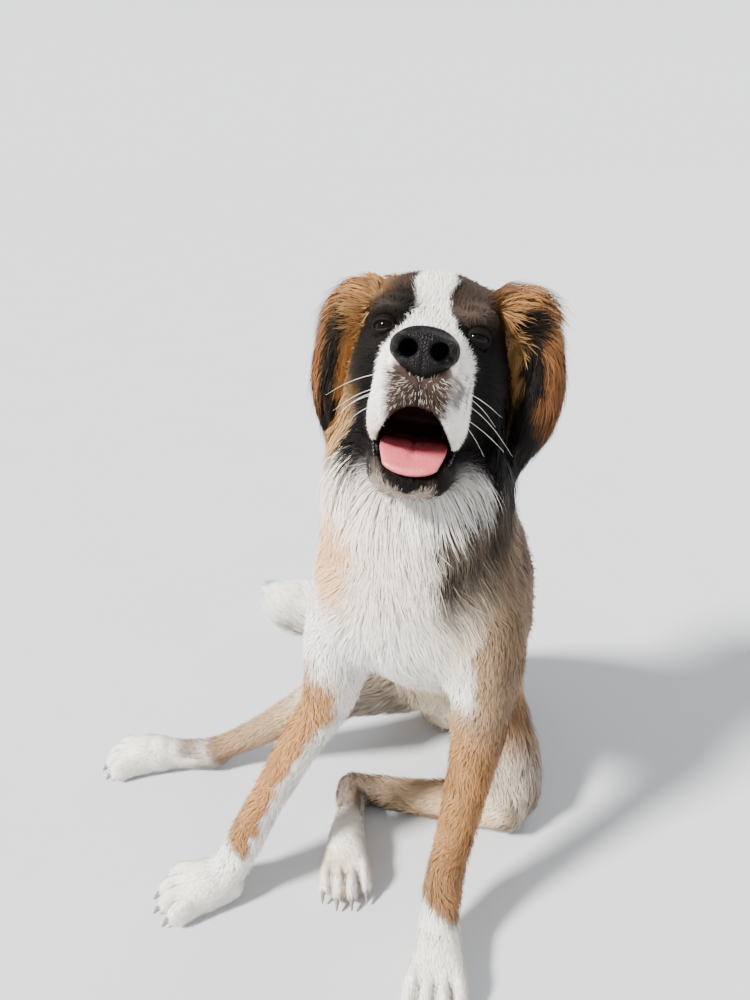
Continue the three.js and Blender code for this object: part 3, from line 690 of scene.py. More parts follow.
def head_colours(sites, _):
    wobble = sites.wobble
    a, s, h = head_places(sites.points)
    a, s, h = a + 3 * wobble, s + 1.8 * wobble, h + 3 * wobble
    wide = abs(s)
    edge = np.where(s < 0, 160 - 0.9 * (wide - 64) + 13 * fade(h, -40, 10), 166)
    cheek = step(a, edge - 6, edge + 6) * step(wide, 52, 62) * fade(h, 84, 100) * step(h, -90, -76)
    # The blaze is narrow on the forehead and wide over the muzzle
    half = np.interp(a, [60, 82, 96, 112, 135, 175, 215, 245, 262], [60, 44, 23, 18, 19, 22, 17, 8, -8])
    middle = 1.5 + 2.5 * step(a, 100, 130)
    blaze = fade(abs(s + middle), half - 3, half + 3) * np.clip(step(h, 20, 34) + fade(a, 70, 95), 0, 1)
    muzzle = fade(a, 80, 89)
    front = fade(a, 32, 46) * fade(h, -10, 0) * fade(abs(s + 1), 22, 31)
    spots = step(noise(sites.points, 9, 5), -0.05, 0.25) * within(s, 20, 50, 6) * within(h, -40, -4, 6)
    return layered(
        BLACK,
        # Brown over the dog's left eye, on the crown and down the nape
        (SABLE * 0.8, 0.8 * within(s, 20, 52, 8) * step(h, 44, 62)),
        (SABLE, 0.5 * within(-s, 20, 60, 8) * step(h, 70, 90)),
        (BROWN * 1.3, step(a, 205, 245) * step(h, 0, 60)),
        # Gold behind the cheeks, and rust round the roots of the ears
        (GOLD, cheek),
        (TAN * 1.1, step(a, 176, 196) * step(wide, 48, 60) * step(h, 30, 60)),
        # Blaze, the muzzle's white sides, darker cream towards their lower edges, its dark front and its grey
        # spots
        (WHITE, blaze),
        (WHITE, muzzle),
        (CREAM * 0.7, 0.65 * muzzle * fade(h, -78, -50)),
        (SABLE * 0.6, front),
        (SABLE * 1.1, 0.75 * spots * fade(a, 60, 74)),
        # The groove that runs down from the nose, a dark line that is partly its dark skin and partly painted
        # shade in the groove, and the dark edge above the mouth
        (BLACK * 2, 0.85 * front * fade(abs(s - 1.8 * wobble), 0.8, 2.4) * step(h, -52, -44)),
        (BLACK * 2, 0.7 * fade(h, -76, -62) * fade(wide, 34, 46) * fade(a, 60, 80)),
    )


# Where the gold ends inwards, the dark outwards, and the gold downwards
EAR_EDGES = {"left": (-0.6, 0.16, 0.6), "right": (-0.36, 0.3, 0.86)}


def ear_colours(sites, side):
    _, t, angle = sites.of(f"ear_{side}")
    wobble = sites.wobble
    front = np.cos(angle)
    outer = -np.sin(angle) * SIDES[side] + 0.14 * wobble
    inner, rim, reach = EAR_EDGES[side]
    below = step(t + 0.06 * wobble, 0.04, 0.14)
    dark = fade(outer, rim - 0.16, rim + 0.16) * step(front, -0.75, -0.3) * below
    gold = fade(outer, inner - 0.14, inner + 0.14) * fade(t + 0.05 * wobble, reach - 0.06, reach + 0.06)
    return layered(
        RUST * 0.9,
        (TAN, 0.7 * fade(t + 0.1 * wobble, 0.1, 0.45)),
        (BLACK * 1.2, dark),
        (GOLD, gold),
        (BLACK * 2, step(t + 0.06 * wobble + 0.08 * front, 0.64, 0.82)),
    )


def jaw_colours(sites, _):
    _, t, angle = sites.of("jaw")
    _, s, _ = head_places(sites.points)
    chin = step(t + 0.08 * sites.wobble, 0.55, 0.8) * fade(abs(s + 5) + 3 * sites.wobble, 25, 34)
    return layered(
        BLACK * 1.2,
        (GREY, 0.9 * chin * step(-np.sin(angle), -0.7, -0.3)),
        (CREAM, fade(t, 0.35, 0.55) * fade(abs(s), 20, 40)),
    )


def body_colours(sites, _):
    _, t, _ = sites.of("body")
    wobble, fine = sites.wobble, sites.fine
    aside = sites.round_body()
    back = abs(aside)
    lifted = wobble * 7 + fine * 3
    far = back + lifted
    streaks = step(noise(sites.points * [1, 1, 0.22], 7, 8) + 0.5 * fine, -0.1, 0.5)
    dark = step(far, 128, 158) * 0.85 + 0.5 * streaks * step(back, 60, 110)
    # Painted shade over the dog's left flank: sable laid on that side, partly its own dark streaks and partly
    # the shade that falls there
    shaded_left_flank = step(aside, 30, 62) * fade(aside, 130, 155) * within(t + 0.02 * wobble, 0.35, 0.82, 0.06)
    saddle_and_flank_shade = np.clip(dark + shaded_left_flank * (0.4 + 0.45 * streaks), 0, 1)
    # Cream belly and white chest
    belly = np.interp(t, [0, 0.3, 0.45], [50, 56, 48])
    left_edge = np.interp(t, [0.4, 0.5, 0.62, 0.72, 0.8], [14, 22, 25, 23, 22])
    right_edge = np.interp(t, [0.4, 0.5, 0.62, 0.72, 0.8, 0.88, 1], [50, 84, 96, 84, 88, 112, 120])
    edge = np.where(aside > 0, left_edge, right_edge)
    bib = fade(far, edge - 10, edge + 10) * step(t, 0.4, 0.47)
    shoulder = step(-aside, 16, 28) * within(t + 0.015 * wobble, 0.64, 0.785, 0.02) * fade(-aside, 110, 130)
    throat = step(-aside, 20, 40) * fade(-aside, 85, 105) * step(t + 0.015 * wobble, 0.79, 0.81)
    # Dark wedge under the collar on the dog's left, and the collar itself, white all round the throat
    hem = np.interp(aside, [20, 50, 80, 110], [0.785, 0.825, 0.88, 0.91]) + 0.012 * wobble
    wedge = step(aside + 4 * wobble, 18, 26) * fade(aside, 110, 140) * step(t, hem - 0.2, hem - 0.08)
    collar = step(t, hem - 0.008, hem + 0.008) * step(aside, 0, 10)
    # The mask goes on behind the corners of the mouth, further down on the dog's left
    a, s, h = head_places(sites.points)
    a, s, h = a + 5 * wobble, s + 3 * wobble, h + 6 * wobble
    slope = h - 0.7 * (s - 40)
    left = step(s, 24, 34) * step(slope, -104, -86) * fade(a, 214, 226)
    right = step(-s, 30, 40) * step(h, -100, -86) * fade(-s, 58, 66) * fade(a, 190, 204)
    return layered(
        FAWN,
        (TAN * 0.9, 0.6 * step(far, 100, 130)),
        (PALE * 0.75, 0.8 * fade(far, 60, 90)),
        # Sable saddle on the back, with painted shade over the dog's left flank
        (SABLE * 1.3, saddle_and_flank_shade * 0.9),
        (CREAM, fade(far, belly - 10, belly + 10)),
        (WHITE, bib),
        (CREAM, 0.4 * bib * within(t, 0.66, 0.8, 0.06) * fade(far, 16, 60)),
        (PALE * [1.3, 1.2, 1.05], shoulder),
        (WHITE * [1, 0.97, 0.9], throat),
        (SABLE * 0.5, wedge * (0.85 + 0.15 * streaks)),
        (WHITE, collar * fade(aside + lifted, 95, 120)),
        (BLACK * 1.3, np.maximum(left, right)),
        (GOLD, step(-s, 58, 66) * step(h, -76, -56) * fade(a, 214, 226)),
        (BROWN, step(s, 60, 74) * step(slope, -80, -64) * step(a, 204, 216) * 0.9),
    )


def tail_colours(sites, _):
    _, t, angle = sites.of("tail")
    dark = 0.4 * step(np.cos(angle), 0, 0.8)
    return layered(PALE, (SABLE, dark), (WHITE, step(t + 0.05 * sites.wobble, 0.5, 0.62)))


def foreleg_colours(sites, side):
    _, t, angle = sites.of(f"foreleg_{side}")
    wobble = sites.wobble
    left, front = np.cos(angle), np.sin(angle)
    outer = left * SIDES[side]
    inner = step(-outer + 0.25 * wobble, 0.3, 0.6)
    chest = fade(t + 0.04 * wobble, 0.28, 0.38)
    if side == "left":
        ground, wrist = 0.9, 0.93 + 0.04 * left
        own = [
            (WHITE * 0.95, inner * 0.6 * fade(t + 0.06 * wobble, 0.25, 0.45)),
            (FAWN * 1.1, 0.85 * fade(t + 0.06 * wobble, 0.3, 0.5)),
            # Painted shade: sable darkens the outer side of the upper leg
            (SABLE * 2, 0.5 * step(outer, 0.3, 0.9) * fade(t + 0.06 * wobble, 0.3, 0.6)),
            (WHITE * 0.97, step(front, 0, 0.4) * step(-left, -0.1, 0.3) * chest),
        ]
    else:
        ground, wrist = 1.15, 0.86 + 0.02 * left
        own = [
            (WHITE * 0.95, inner),
            (WHITE * 0.97, step(front + 0.2 * wobble, -0.95, -0.5) * chest),
            (PALE * 1.25, 0.9 * step(outer, -0.2, 0.3) * fade(t + 0.03 * wobble, 0.05, 0.12)),
        ]
    return layered(
        TAN * ground,
        (BROWN * 1.2, 0.5 * step(t + 0.05 * wobble, 0.62, 0.86)),
        (PALE * 0.9, 0.3 * fade(t, 0.2, 0.5) + 0.1 * step(noise(sites.points, 12, 9), 0, 0.6)),
        *own,
        (WHITE, step(t - wrist + 0.012 * wobble, -0.015, 0.015)),
    )


def thigh_colours(sites, side):
    _, t, angle = sites.of(f"thigh_{side}")
    upper = step(np.sin(angle) + 0.3 * sites.wobble, 0.2, 0.7) * fade(t, 0.4, 0.8)
    # Painted shade: the thighs' cream is darkened and greyed where shade lies on them
    return layered(CREAM * [0.55, 0.56, 0.62], (TAN * 0.8, upper * 0.85))


def shank_colours(sites, side):
    _, t, _ = sites.of(f"shank_{side}")
    upper = (CREAM, 0.5 * fade(t, 0.1, 0.4))
    if side == "left":
        # Painted light and shade: the left shank's pale base stands in for sunlight on it, and the sable
        # towards the hock for shade over its brown
        return layered(PALE, upper, (SABLE, 0.92 * step(t + 0.06 * sites.wobble, 0.5, 0.72)))
    lower = (BROWN * 1.4, 0.5 * step(t + 0.08 * sites.wobble, 0.45, 0.8))
    return layered(FAWN * 1.2, upper, lower, (WHITE * 0.95, step(t + 0.03 * sites.wobble, 0.9, 0.98)))


def instep_colours(sites, side):
    """Brown runs down from the hocks over the upper sides"""
    _, t, angle = sites.of(f"instep_{side}")
    wobble = sites.wobble
    upper = step(np.cos(angle) + 0.3 * wobble, 0.1, 0.5) * fade(t + 0.1 * wobble, 0.45, 0.75)
    hock = fade(t + 0.1 * wobble, 0.05, 0.22)
    return layered(WHITE, (BROWN * 0.9, 0.85 * np.maximum(upper, hock)))


def paw_colours(*_):
    return WHITE


def hindfoot_colours(sites, side):
    spots = 0.5 * step(noise(sites.points, 22, 14), 0.1, 0.5)
    return layered(WHITE, (PALE, spots)) if side == "left" else WHITE


PAINTERS = {
    "body": body_colours,
    "head": head_colours,
    "jaw": jaw_colours,
    "tail": tail_colours,
    "ear": ear_colours,
    "flew": head_colours,
    "foreleg": foreleg_colours,
    "thigh": thigh_colours,
    "shank": shank_colours,
    "instep": instep_colours,
    "forepaw": paw_colours,
    "hindfoot": hindfoot_colours,
}


def markings(sites):
    """The coat's colour at each point, for skin and tufts alike"""
    total = np.zeros(sites.points.shape)
    for name, share in zip(NAMES, sites.share):
        kind, _, side = name.partition("_")
        if share.max() >= 0.01:
            total += PAINTERS[kind](sites, side) * share[:, None]
    return total * (1 + 0.06 * noise(sites.points, 11, 6) + 0.05 * sites.fine)[:, None]


class Coat:
    """Length, width, height, density and lie of the coat at each of many sites"""

    def __init__(self, sites):
        points = sites.points
        self.height, self.length, self.width, self.density = (
            sites.mix(column) for column in (DEPTH, LENGTH, WIDTH, DENSITY)
        )
        a, s, h = head_places(points)
        wide = abs(s)
        body, t, angle = sites.of("body")
        aside = sites.round_body()
        head, *_ = sites.of("head")
        # Longer on the chest, behind the cheeks and on the crown, and lofty over the collar
        upward = t + 0.03 * noise(points, 40, 33)
        collar = body * within(upward, 0.8, 0.98, 0.03) * step(-np.sin(angle), -0.2, 0.3)
        cheek = head * step(a, 146, 166) * step(wide, 56, 70)
        clumps = 0.25 * noise(points, 24, 31) + 0.2 * noise(points, 55, 32)
        chest = (-np.sin(angle) > 0.2) * body
        crown = head * step(a, 150, 215)
        self.length *= 1 + 0.35 * chest * step(t, 0.45, 0.6)
        self.length *= 1 + 1.2 * crown
        self.length *= 1 + 0.8 * cheek
        self.length *= 1 + 0.3 * collar
        self.height *= 1 + 1.2 * cheek
        self.height *= 1 + body * clumps + 0.55 * collar
        # The gap between the dog's left cheek and ear is filled by both coats
        filled = head * step(a, 130, 160) * step(s, 56, 70)
        self.height *= 1 + 0.7 * filled
        # Tufts stand up where the ears grow from the skull, and the tail ends in a brush
        rooted = head * step(a, 150, 172) * step(wide, 38, 54) * step(h, 52, 72)
        self.height *= 1 + 3.2 * rooted
        self.length *= 1 + 1.2 * rooted
        tail, along, _ = sites.of("tail")
        brush = tail * step(along, 0.5, 0.85)
        self.height *= 1 + 0.3 * tail + 0.6 * brush
        # How far tufts leave the skin and point along the flow
        self.loose = 0.85 * tail * step(along, 0.66, 0.92)
        turned = 0.55 * brush[:, None] * UP
        for side, sign in SIDES.items():
            # Feathering behind the forelegs
            share, along, angle = sites.of(f"foreleg_{side}")
            behind = share * step(-np.sin(angle), 0.3, 0.8) * fade(along, 0.75, 0.85)
            self.length *= 1 + 1.2 * behind
            # The ears' hind and outer edges stand out to the side
            share, along, angle = sites.of(f"ear_{side}")
            outer = -np.sin(angle) * sign
            root = fade(along, 0.12, 0.34)
            self.length *= 1 + share * (0.4 * step(-np.cos(angle), 0.2, 0.8) + 0.5 * step(outer, 0.2, 0.8))
            self.height *= 1 + share * (1.1 * step(outer, 0, 0.7) + 2.8 * root)
            self.height *= 1 + share * 0.8 * step(-outer, 0.3, 0.8)
            self.loose += 0.3 * share * step(outer, 0, 0.7)
            spread = share * (step(outer, -0.1, 0.7) * 0.9 + 0.3 * root)
            turned += (spread * sign)[:, None] * LEFT + (0.5 * share * root)[:, None] * CROWN
        # Pale hairs among the dark ones under the nose and on the chin
        jaw, along, angle = sites.of("jaw")
        front = fade(a, 34, 46) * fade(h, -14, -2) * fade(wide, 26, 36)
        chin = jaw * step(along, 0.6, 0.8) * fade(abs(s + 5), 25, 34) * step(-np.sin(angle), -0.7, -0.2)
        self.pale = 0.42 * front * (1 - jaw) + 0.75 * chin
        # None over the eyes, and shorter round them
        self.bare = np.zeros(len(points))
        for sign in SIDES.values():
            gap = np.sqrt((a - EYE[0]) ** 2 + (s - EYE[1] * sign) ** 2 + (h - EYE[2]) ** 2)
            self.bare = np.maximum(self.bare, fade(gap, 15.5, 17.5))
            self.length *= 0.45 + 0.55 * step(gap, 17, 34)
        # The cheeks' coat turns down, and the chest's parts along its middle
        down = head * step(wide, 45, 70) * step(a, 120, 170)
        flow = np.einsum("pn,pnk->nk", sites.share, sites.flow) - UP * (0.9 * down)[:, None] + turned
        aside = aside + 14 * noise(points, 60, 34)
        parted = 0.5 * body * np.clip(aside / 35, -1, 1) * (abs(aside) < 100) * step(t, 0.42, 0.6)
        self.flow = unit(flow + parted[:, None] * BODY_LEFT)


# Materials
class Look:
    """A procedural material: nodes are made by type and linked by name"""

    def __init__(self, name, **sockets):
        self.material = bpy.data.materials.new(name)
        self.material.use_nodes = True
        self.tree = self.material.node_tree
        self.shader = self.tree.nodes["Principled BSDF"]
        for socket, value in sockets.items():
            self.shader.inputs[socket.replace("_", " ")].default_value = value

    def node(self, kind, links, **settings):
        made = self.tree.nodes.new("ShaderNode" + kind)
        for key, value in settings.items():
            setattr(made, key, value)
        for socket, value in links.items():
            if isinstance(value, bpy.types.NodeSocket):
                self.tree.links.new(value, made.inputs[socket])
            else:
                made.inputs[socket].default_value = value
        return made

    def set(self, socket, output):
        self.tree.links.new(output, self.shader.inputs[socket])

    def place(self):
        return self.node("TexCoord", {}).outputs["Object"]

    def tint(self):
        """The mesh's own colours"""
        return self.node("Attribute", {}, attribute_name="tint")

    def grain(self, scale, detail=3.0, stretch=None):
        vector = self.place()
        if stretch is not None:
            vector = self.node("Mapping", {"Vector": vector, "Scale": stretch}).outputs[0]
        links = {"Vector": vector, "Scale": scale, "Detail": detail, "Roughness": 0.6}
        return self.node("TexNoise", links).outputs["Fac"]

    def span(self, factor, low, high):
        return self.node("MapRange", {"Value": factor, "To Min": low, "To Max": high}).outputs[0]

    def scaled(self, colour, factor):
        """A colour times a number"""
        return self.node("VectorMath", {0: colour, "Scale": factor}, operation="SCALE").outputs[0]

    def mottle(self, grain, a, b):
        """Colours the surface between two colours by a grain"""
        mixed = self.node("Mix", {0: grain, 6: (*a, 1), 7: (*b, 1)}, data_type="RGBA")
        self.set("Base Color", mixed.outputs[2])

    def bump(self, height, strength, distance):
        return self.node("Bump", {"Height": height, "Strength": strength, "Distance": distance}).outputs[0]


def fur_look(name, scale, bump):
    """Markings from the mesh, varied from hair to hair, and wet where their alpha is low"""
    look = Look(name, Specular_IOR_Level=0.07)
    tint = look.tint()
    look.set("Base Color", look.scaled(tint.outputs["Color"], look.span(look.grain(scale, 4.0), 0.85, 1.15)))
    if bump:
        look.set("Normal", look.bump(look.grain(scale, 5.0), bump, 0.001))
        dry = look.span(look.grain(scale * 0.5), 0.55, 0.75)
        wet = look.span(tint.outputs["Alpha"], 0.3, 1.0)
        look.set("Roughness", look.node("Math", {0: dry, 1: wet}, operation="MULTIPLY").outputs[0])
    else:
        look.set("Roughness", look.span(look.grain(scale * 0.5), 0.5, 0.7))
    return look.material


# Coat: each tuft is a thin tapering ribbon that starts in the skin, rises to the coat's height and lies
# along the flow
def roots_on(points, triangles, density, bare, rng):
    """Seeded places on the skin: face, and shares of its three corners"""
    a, b, c = (points[triangles[:, i]] for i in range(3))
    area = np.linalg.norm(np.cross(b - a, c - a), axis=1) / (2 * SQUARE_CM)
    wanted = area * density[triangles].mean(1) * (bare[triangles].max(1) < 0.5)
    count = np.floor(wanted + rng.random(len(wanted))).astype(int)
    face = np.repeat(np.arange(len(triangles)), count)
    u, v = rng.random((2, len(face)))
    over = u + v > 1
    u[over], v[over] = 1 - u[over], 1 - v[over]
    return face, np.stack([1 - u - v, u, v], 1)


def grown(roots, flow, length, height, bend, loose, field, rows):
    """Rows of points from each root, along the flow and over the skin, bending to one side or loose of it"""
    path = [roots - field.normal(roots) * ROOT_DEPTH]
    place = roots
    for row in range(1, rows):
        share = row / (rows - 1)
        normal = field.normal(place)
        along = unit(flow - normal * ((1 - loose) * (flow * normal).sum(1))[:, None])
        turned = (bend * share)[:, None]
        along = along * np.cos(turned) + np.cross(normal, along) * np.sin(turned)
        place = place + along * (length / (rows - 1))[:, None]
        wanted = height * (1 - (1 - share) ** 1.7)
        normal = field.normal(place)
        gap = wanted - field.read(place)
        place = place + normal * np.where(gap > 0, gap, gap * (1 - loose))[:, None]
        path.append(place)
    paths = np.stack(path, 1)
    paths[..., 2] = np.maximum(paths[..., 2], LOWEST_LINE)
    return paths


def gathered(paths, roots, size, pull, rng):
    """Draws the tips of neighbouring strands together into locks"""
    cell = np.floor(roots / size).astype(int)
    table = rng.random((16, 16, 16, 3))
    best = np.full(len(roots), np.inf)
    owner = np.zeros((len(roots), 3), int)
    for offset in np.ndindex(3, 3, 3):
        other = cell + np.array(offset) - 1
        centre = (other + table[tuple((other % 16).T)]) * size
        gap = ((roots - centre) ** 2).sum(1)
        closer = gap < best
        best[closer], owner[closer] = gap[closer], other[closer]
    _, lock = np.unique(owner, axis=0, return_inverse=True)
    lock = lock.ravel()
    count = np.bincount(lock)
    rows = paths.shape[1]
    for row in range(1, rows):
        middle = np.stack([np.bincount(lock, paths[:, row, k]) / count for k in range(3)], 1)
        share = (row / (rows - 1)) ** 1.3 * pull
        paths[:, row] += (middle[lock] - paths[:, row]) * share[:, None]
    return paths


def ribbons(paths, normals, width, roll):
    """Tapering ribbons along the paths: vertices of each, its triangles, and each vertex's place on it"""
    count, rows = paths.shape[:2]
    slope = unit(np.gradient(paths, axis=1))
    across = unit(np.cross(slope, normals[:, None]))
    lifted = np.cross(across, slope)
    across = across * np.cos(roll)[:, None, None] + lifted * np.sin(roll)[:, None, None]
    share = np.linspace(0, 1, rows)
    half = width[:, None] * (0.5 * np.interp(share, [0, 0.3, 0.65, 1], [0.75, 1, 0.72, 0]))[None]
    left = paths - across * half[..., None]
    right = paths + across * half[..., None]
    vertices = np.concatenate([np.stack([left, right], 2)[:, :-1].reshape(count, -1, 3), paths[:, -1:]], 1)
    vertices[..., 2] = np.maximum(vertices[..., 2], LOWEST_EDGE)
    facing = unit(np.cross(across, slope) + 2.2 * normals[:, None])
    shown = np.concatenate([np.repeat(facing[:, :-1], 2, axis=1), facing[:, -1:]], 1)
    faces = []
    for a in range(0, 2 * (rows - 2), 2):
        faces += [(a, a + 1, a + 3), (a, a + 3, a + 2)]
    last = 2 * (rows - 2)
    faces.append((last, last + 1, last + 2))
    triangles = (np.arange(count)[:, None, None] * vertices.shape[1] + np.array(faces)).reshape(-1, 3)
    along = np.concatenate([np.repeat(share[:-1], 2), [1.0]])
    aside = np.concatenate([np.tile([0.0, 1.0], rows - 1), [0.5]])
    return vertices.reshape(-1, 3), triangles, shown.reshape(-1, 3), along, aside


def patches_of(sites):
    """Where each site lies on the unwrapped skin: along and round its part, in the part's own patch"""
    patches = np.array([KINDS[kind][PLACE] for kind in KIND_OF])
    patches[:, 0] += [0.5 * name.endswith("_right") for name in NAMES]
    x, y, wide, high = patches[sites.part].T
    pick = (sites.part, np.arange(len(sites.part)))
    return np.stack([x + wide * sites.angle[pick] / (2 * np.pi), y + high * np.clip(sites.t[pick], 0, 1)], 1)


def around_mouth():
    return Field(on_head(170, 0, -60) - 140, on_head(0, 0, -110) + 140)


# Skin, thinned away from the face, with dark lips, and a dark palate that is painted shade inside the mouth
field = skin_field()
points, triangles = field.surface()
a, _, _ = head_places(points)
on_the_face = (a < FACE_END) & (points[:, 2] > FACE_LOW)
points, triangles = thinned(points, triangles, KEPT, np.where(on_the_face, 0, 1))
sites = Sites(points)
cavity, jaw_cavity = around_mouth(), around_mouth()
cavity.join(sweep(MOUTH, (20, 14)))
jaw_cavity.join(sweep(MOUTH_FLOOR, (8, 10)))
a, s, h = head_places(points)
near_mouth = (a < MOUTH_END) & (abs(s) < MOUTH_SIDE) & (h < 0)
of_jaw = sites.of("jaw")[0] > 0.5
depth = np.where(of_jaw, jaw_cavity.read(points), cavity.read(points))
edge = np.where(of_jaw, LOWER_LIP, UPPER_LIP)
lip = fade(depth, edge - 1.5, edge) * near_mouth
# Painted shade: the palate deep inside the mouth is darkened
palate = fade(depth, -1, 1) * near_mouth * step(a, 50, 80)
tint = layered(markings(sites), (LIP, lip), (SHADED_PALATE, palate))
tint = np.column_stack([tint, 1 - lip])
skin = to_mesh("skin", points, triangles, tint, look=fur_look("skin_fur", 900.0, 0.35))
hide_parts(*[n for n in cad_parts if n.split("_")[0] not in ("eye", "nose", "tongue", "claw")])

# Roots of the tufts: none inside the mouth, on the lips' edges or under the nose leather
coat = Coat(sites)
coat.bare = np.maximum(coat.bare, fade(depth, edge - 1, edge) * near_mouth)
_, _, out, past = NOSE.locate(points)
coat.bare = np.maximum(coat.bare, (out < 1.03) & (abs(past) < 8))
rng = np.random.default_rng(11)
face, corner = roots_on(points, triangles, coat.density, coat.bare, rng)


def at_roots(values):
    picked = values[triangles[face]]
    return (picked * (corner[..., None] if picked.ndim == 3 else corner)).sum(1)


roots = at_roots(points)
places = Sites(roots)
colours = markings(places)
length, width, height, loose = (at_roots(v) for v in (coat.length, coat.width, coat.height, coat.loose))
flow = unit(at_roots(coat.flow))
n = len(roots)
length = length * rng.uniform(0.75, 1.2, n)
# Wider tufts low in the coat close it under the fine ones at its surface
under = rng.random(n) < LOW_TUFTS
height = height * np.where(under, rng.uniform(0.35, 0.75, n), rng.uniform(0.75, 1.08, n))
stray = rng.random(n) < STRAY_TUFTS
height = np.minimum(height * np.where(stray, rng.uniform(1.2, 1.7, n), 1), 0.6 * length)
width = width * np.where(under & (length > 14), 2.2, rng.uniform(0.75, 1.15, n))
pale = rng.random(n) < at_roots(coat.pale)
colours[pale] = (0.5 * CREAM + 0.5 * WHITE) * rng.uniform(0.15, 0.9, (pale.sum(), 1))
width = np.where(pale, width * 0.45, width)
length = np.where(pale, length * 0.6, length)
swirl = (0.36 * noise(roots, 60, 21) + 0.3 * noise(roots, 21, 22) + rng.normal(0, 0.14, n))[:, None]
bend = 0.75 * noise(roots, 26, 23) + rng.normal(0, 0.22, n)
normals = field.normal(roots)
flow = unit(flow * np.cos(swirl) + np.cross(normals, flow) * np.sin(swirl))
kinds = KIND_OF[places.part]
wide = Field(field.start * VOXEL, (field.start + field.values.shape) * VOXEL, COARSE_VOXEL)
wide.join((points, triangles))
spots = patches_of(places)
fur = fur_look("coat_fur", 500.0, 0.0)
# Rows of points along each tuft, the locks that tufts gather in, how far they do, and the parts of the dog
GROUPS = {
    "body": (5, (30.0, 11.0), 1.0, ("body",)),
    "thighs": (5, (24.0, 10.0), 1.0, ("thigh",)),
    "ears": (5, (24.0, 10.0), 1.0, ("ear",)),
    "tail": (5, (26.0, 12.0), 1.3, ("tail",)),
    "legs": (4, (6.0,), 1.0, ("foreleg", "shank", "instep", "forepaw", "hindfoot")),
    "head": (4, (6.0,), 1.0, ("head", "jaw", "flew")),
}
for group, (rows, locks, tight, members) in GROUPS.items():
    chosen = np.flatnonzero(np.isin(kinds, members))
    own = (v[chosen] for v in (roots, flow, length, height, bend, loose))
    paths = grown(*own, wide, rows)
    pull = tight * rng.uniform(0.15, 0.6, len(chosen)) * np.clip(length[chosen] / 40, 0.25, 1)
    for size in locks:
        paths = gathered(paths, roots[chosen], size, pull, rng)
    pieces = int(np.ceil(len(chosen) * (2 * rows - 3) / MOST_FACES))
    for number, some in enumerate(np.array_split(np.arange(len(chosen)), pieces), 1):
        picked = chosen[some]
        roll = rng.normal(0, 0.28, len(picked))
        vertices, faces, shown, along, aside = ribbons(paths[some], normals[picked], width[picked], roll)
        # Painted shade: each tuft darker towards its root, where the coat shades itself, and a little lighter
        # at its tip
        shade = np.interp(along, [0, 0.35, 0.8, 1], [0.9, 0.96, 1.0, 1.03])
        tone = colours[picked] * rng.normal(1, 0.06, len(picked))[:, None]
        shaded = (tone[:, None] * shade[None, :, None]).reshape(-1, 3)
        local = (np.stack([aside, along], 1) - 0.5) * PATCH
        uv = (spots[picked][:, None] + local[None]).reshape(-1, 2)
        piece = to_mesh(f"coat_{group}_{number}", vertices, faces, shaded, shown, fur)
        layer = piece.data.uv_layers.new(name="OFBake")
        layer.data.foreach_set("uv", uv[faces.ravel()].astype(np.float32).ravel())


# Eyes, with the iris and pupil round the way that they look
PUPIL = np.array([0.002, 0.0015, 0.0015])
IRIS = np.array([0.006, 0.0022, 0.0012])
IRIS_RIM = np.array([0.002, 0.001, 0.001])
EYE_WHITE = np.array([0.012, 0.007, 0.006])
PALE_LID = np.array([0.20, 0.14, 0.12])
# Degrees past the opening's edge, and height over the eyeball
LID_ROWS = [
    (0, 0.1), (0.5, 1.3), (3.5, 2.3), (8, 2.6), (14, 2.2),
    (19, 1.4), (25, 1.8), (34, 1.8), (48, 0.9), (62, 0.2),
]
# The dog squints with its left eye
LID_OPENING = {"left": 0.72, "right": 1.1}


def eye_axes(sign):
    """Right, up and forward of the way that an eye looks"""
    gaze = unit(AHEAD + 0.32 * sign * LEFT - 0.05 * CROWN)
    rightward = unit(np.cross(CROWN, gaze))
    return rightward, np.cross(gaze, rightward), gaze


def eye_look():
    look = Look("eye", Roughness=0.09, Specular_IOR_Level=0.1)
    look.set("Base Color", look.scaled(look.tint().outputs["Color"], look.span(look.grain(900.0), 0.7, 1.3)))
    return look.material


def eyeball(side, centre, axes, look):
    verts, faces = ball(centre, (EYE_RADIUS,) * 3, axes, 48, 64)
    polar = np.degrees(np.arccos(np.clip(unit(verts - centre) @ axes[2], -1, 1)))
    edges = ((IRIS, step(polar, 18, 23)), (IRIS_RIM, step(polar, 36, 42)), (EYE_WHITE, step(polar, 56, 64)))
    return to_mesh(f"eyeball_{side}", verts, faces, layered(PUPIL, *edges), look=look)


def eyelids(side, centre, axes, look):
    """A shell round the eyeball with an almond opening and a rolled edge"""
    rightward, upward, gaze = axes
    turns = np.linspace(0, 2 * np.pi, 72, endpoint=False)
    slanted = turns + np.radians(8) * SIDES[side]
    c, d = np.cos(slanted), np.sin(slanted)
    high = np.where(d > 0, 17.0, 15.0) * LID_OPENING[side]
    reach = 41 + 5 * (abs(c) > 0.9)
    rim = 1 / np.sqrt((c / reach) ** 2 + (d / high) ** 2)
    around = np.cos(turns)[:, None] * rightward + np.sin(turns)[:, None] * upward
    rings = []
    for beyond, raised in LID_ROWS:
        q = np.radians(np.minimum(rim + beyond, 112))[:, None]
        rings.append(centre + (EYE_RADIUS + raised) * (np.cos(q) * gaze + np.sin(q) * around))
    count, sides = len(rings), len(turns)
    pale = np.zeros((count, sides))
    pale[1, np.sin(turns) < -0.5] = 0.12
    tint = layered(BLACK * 0.9, (PALE_LID, pale.ravel()))
    faces = between_rings(count, sides)[:, ::-1]
    return to_mesh(f"lids_{side}", np.concatenate(rings), faces, tint, look=look)


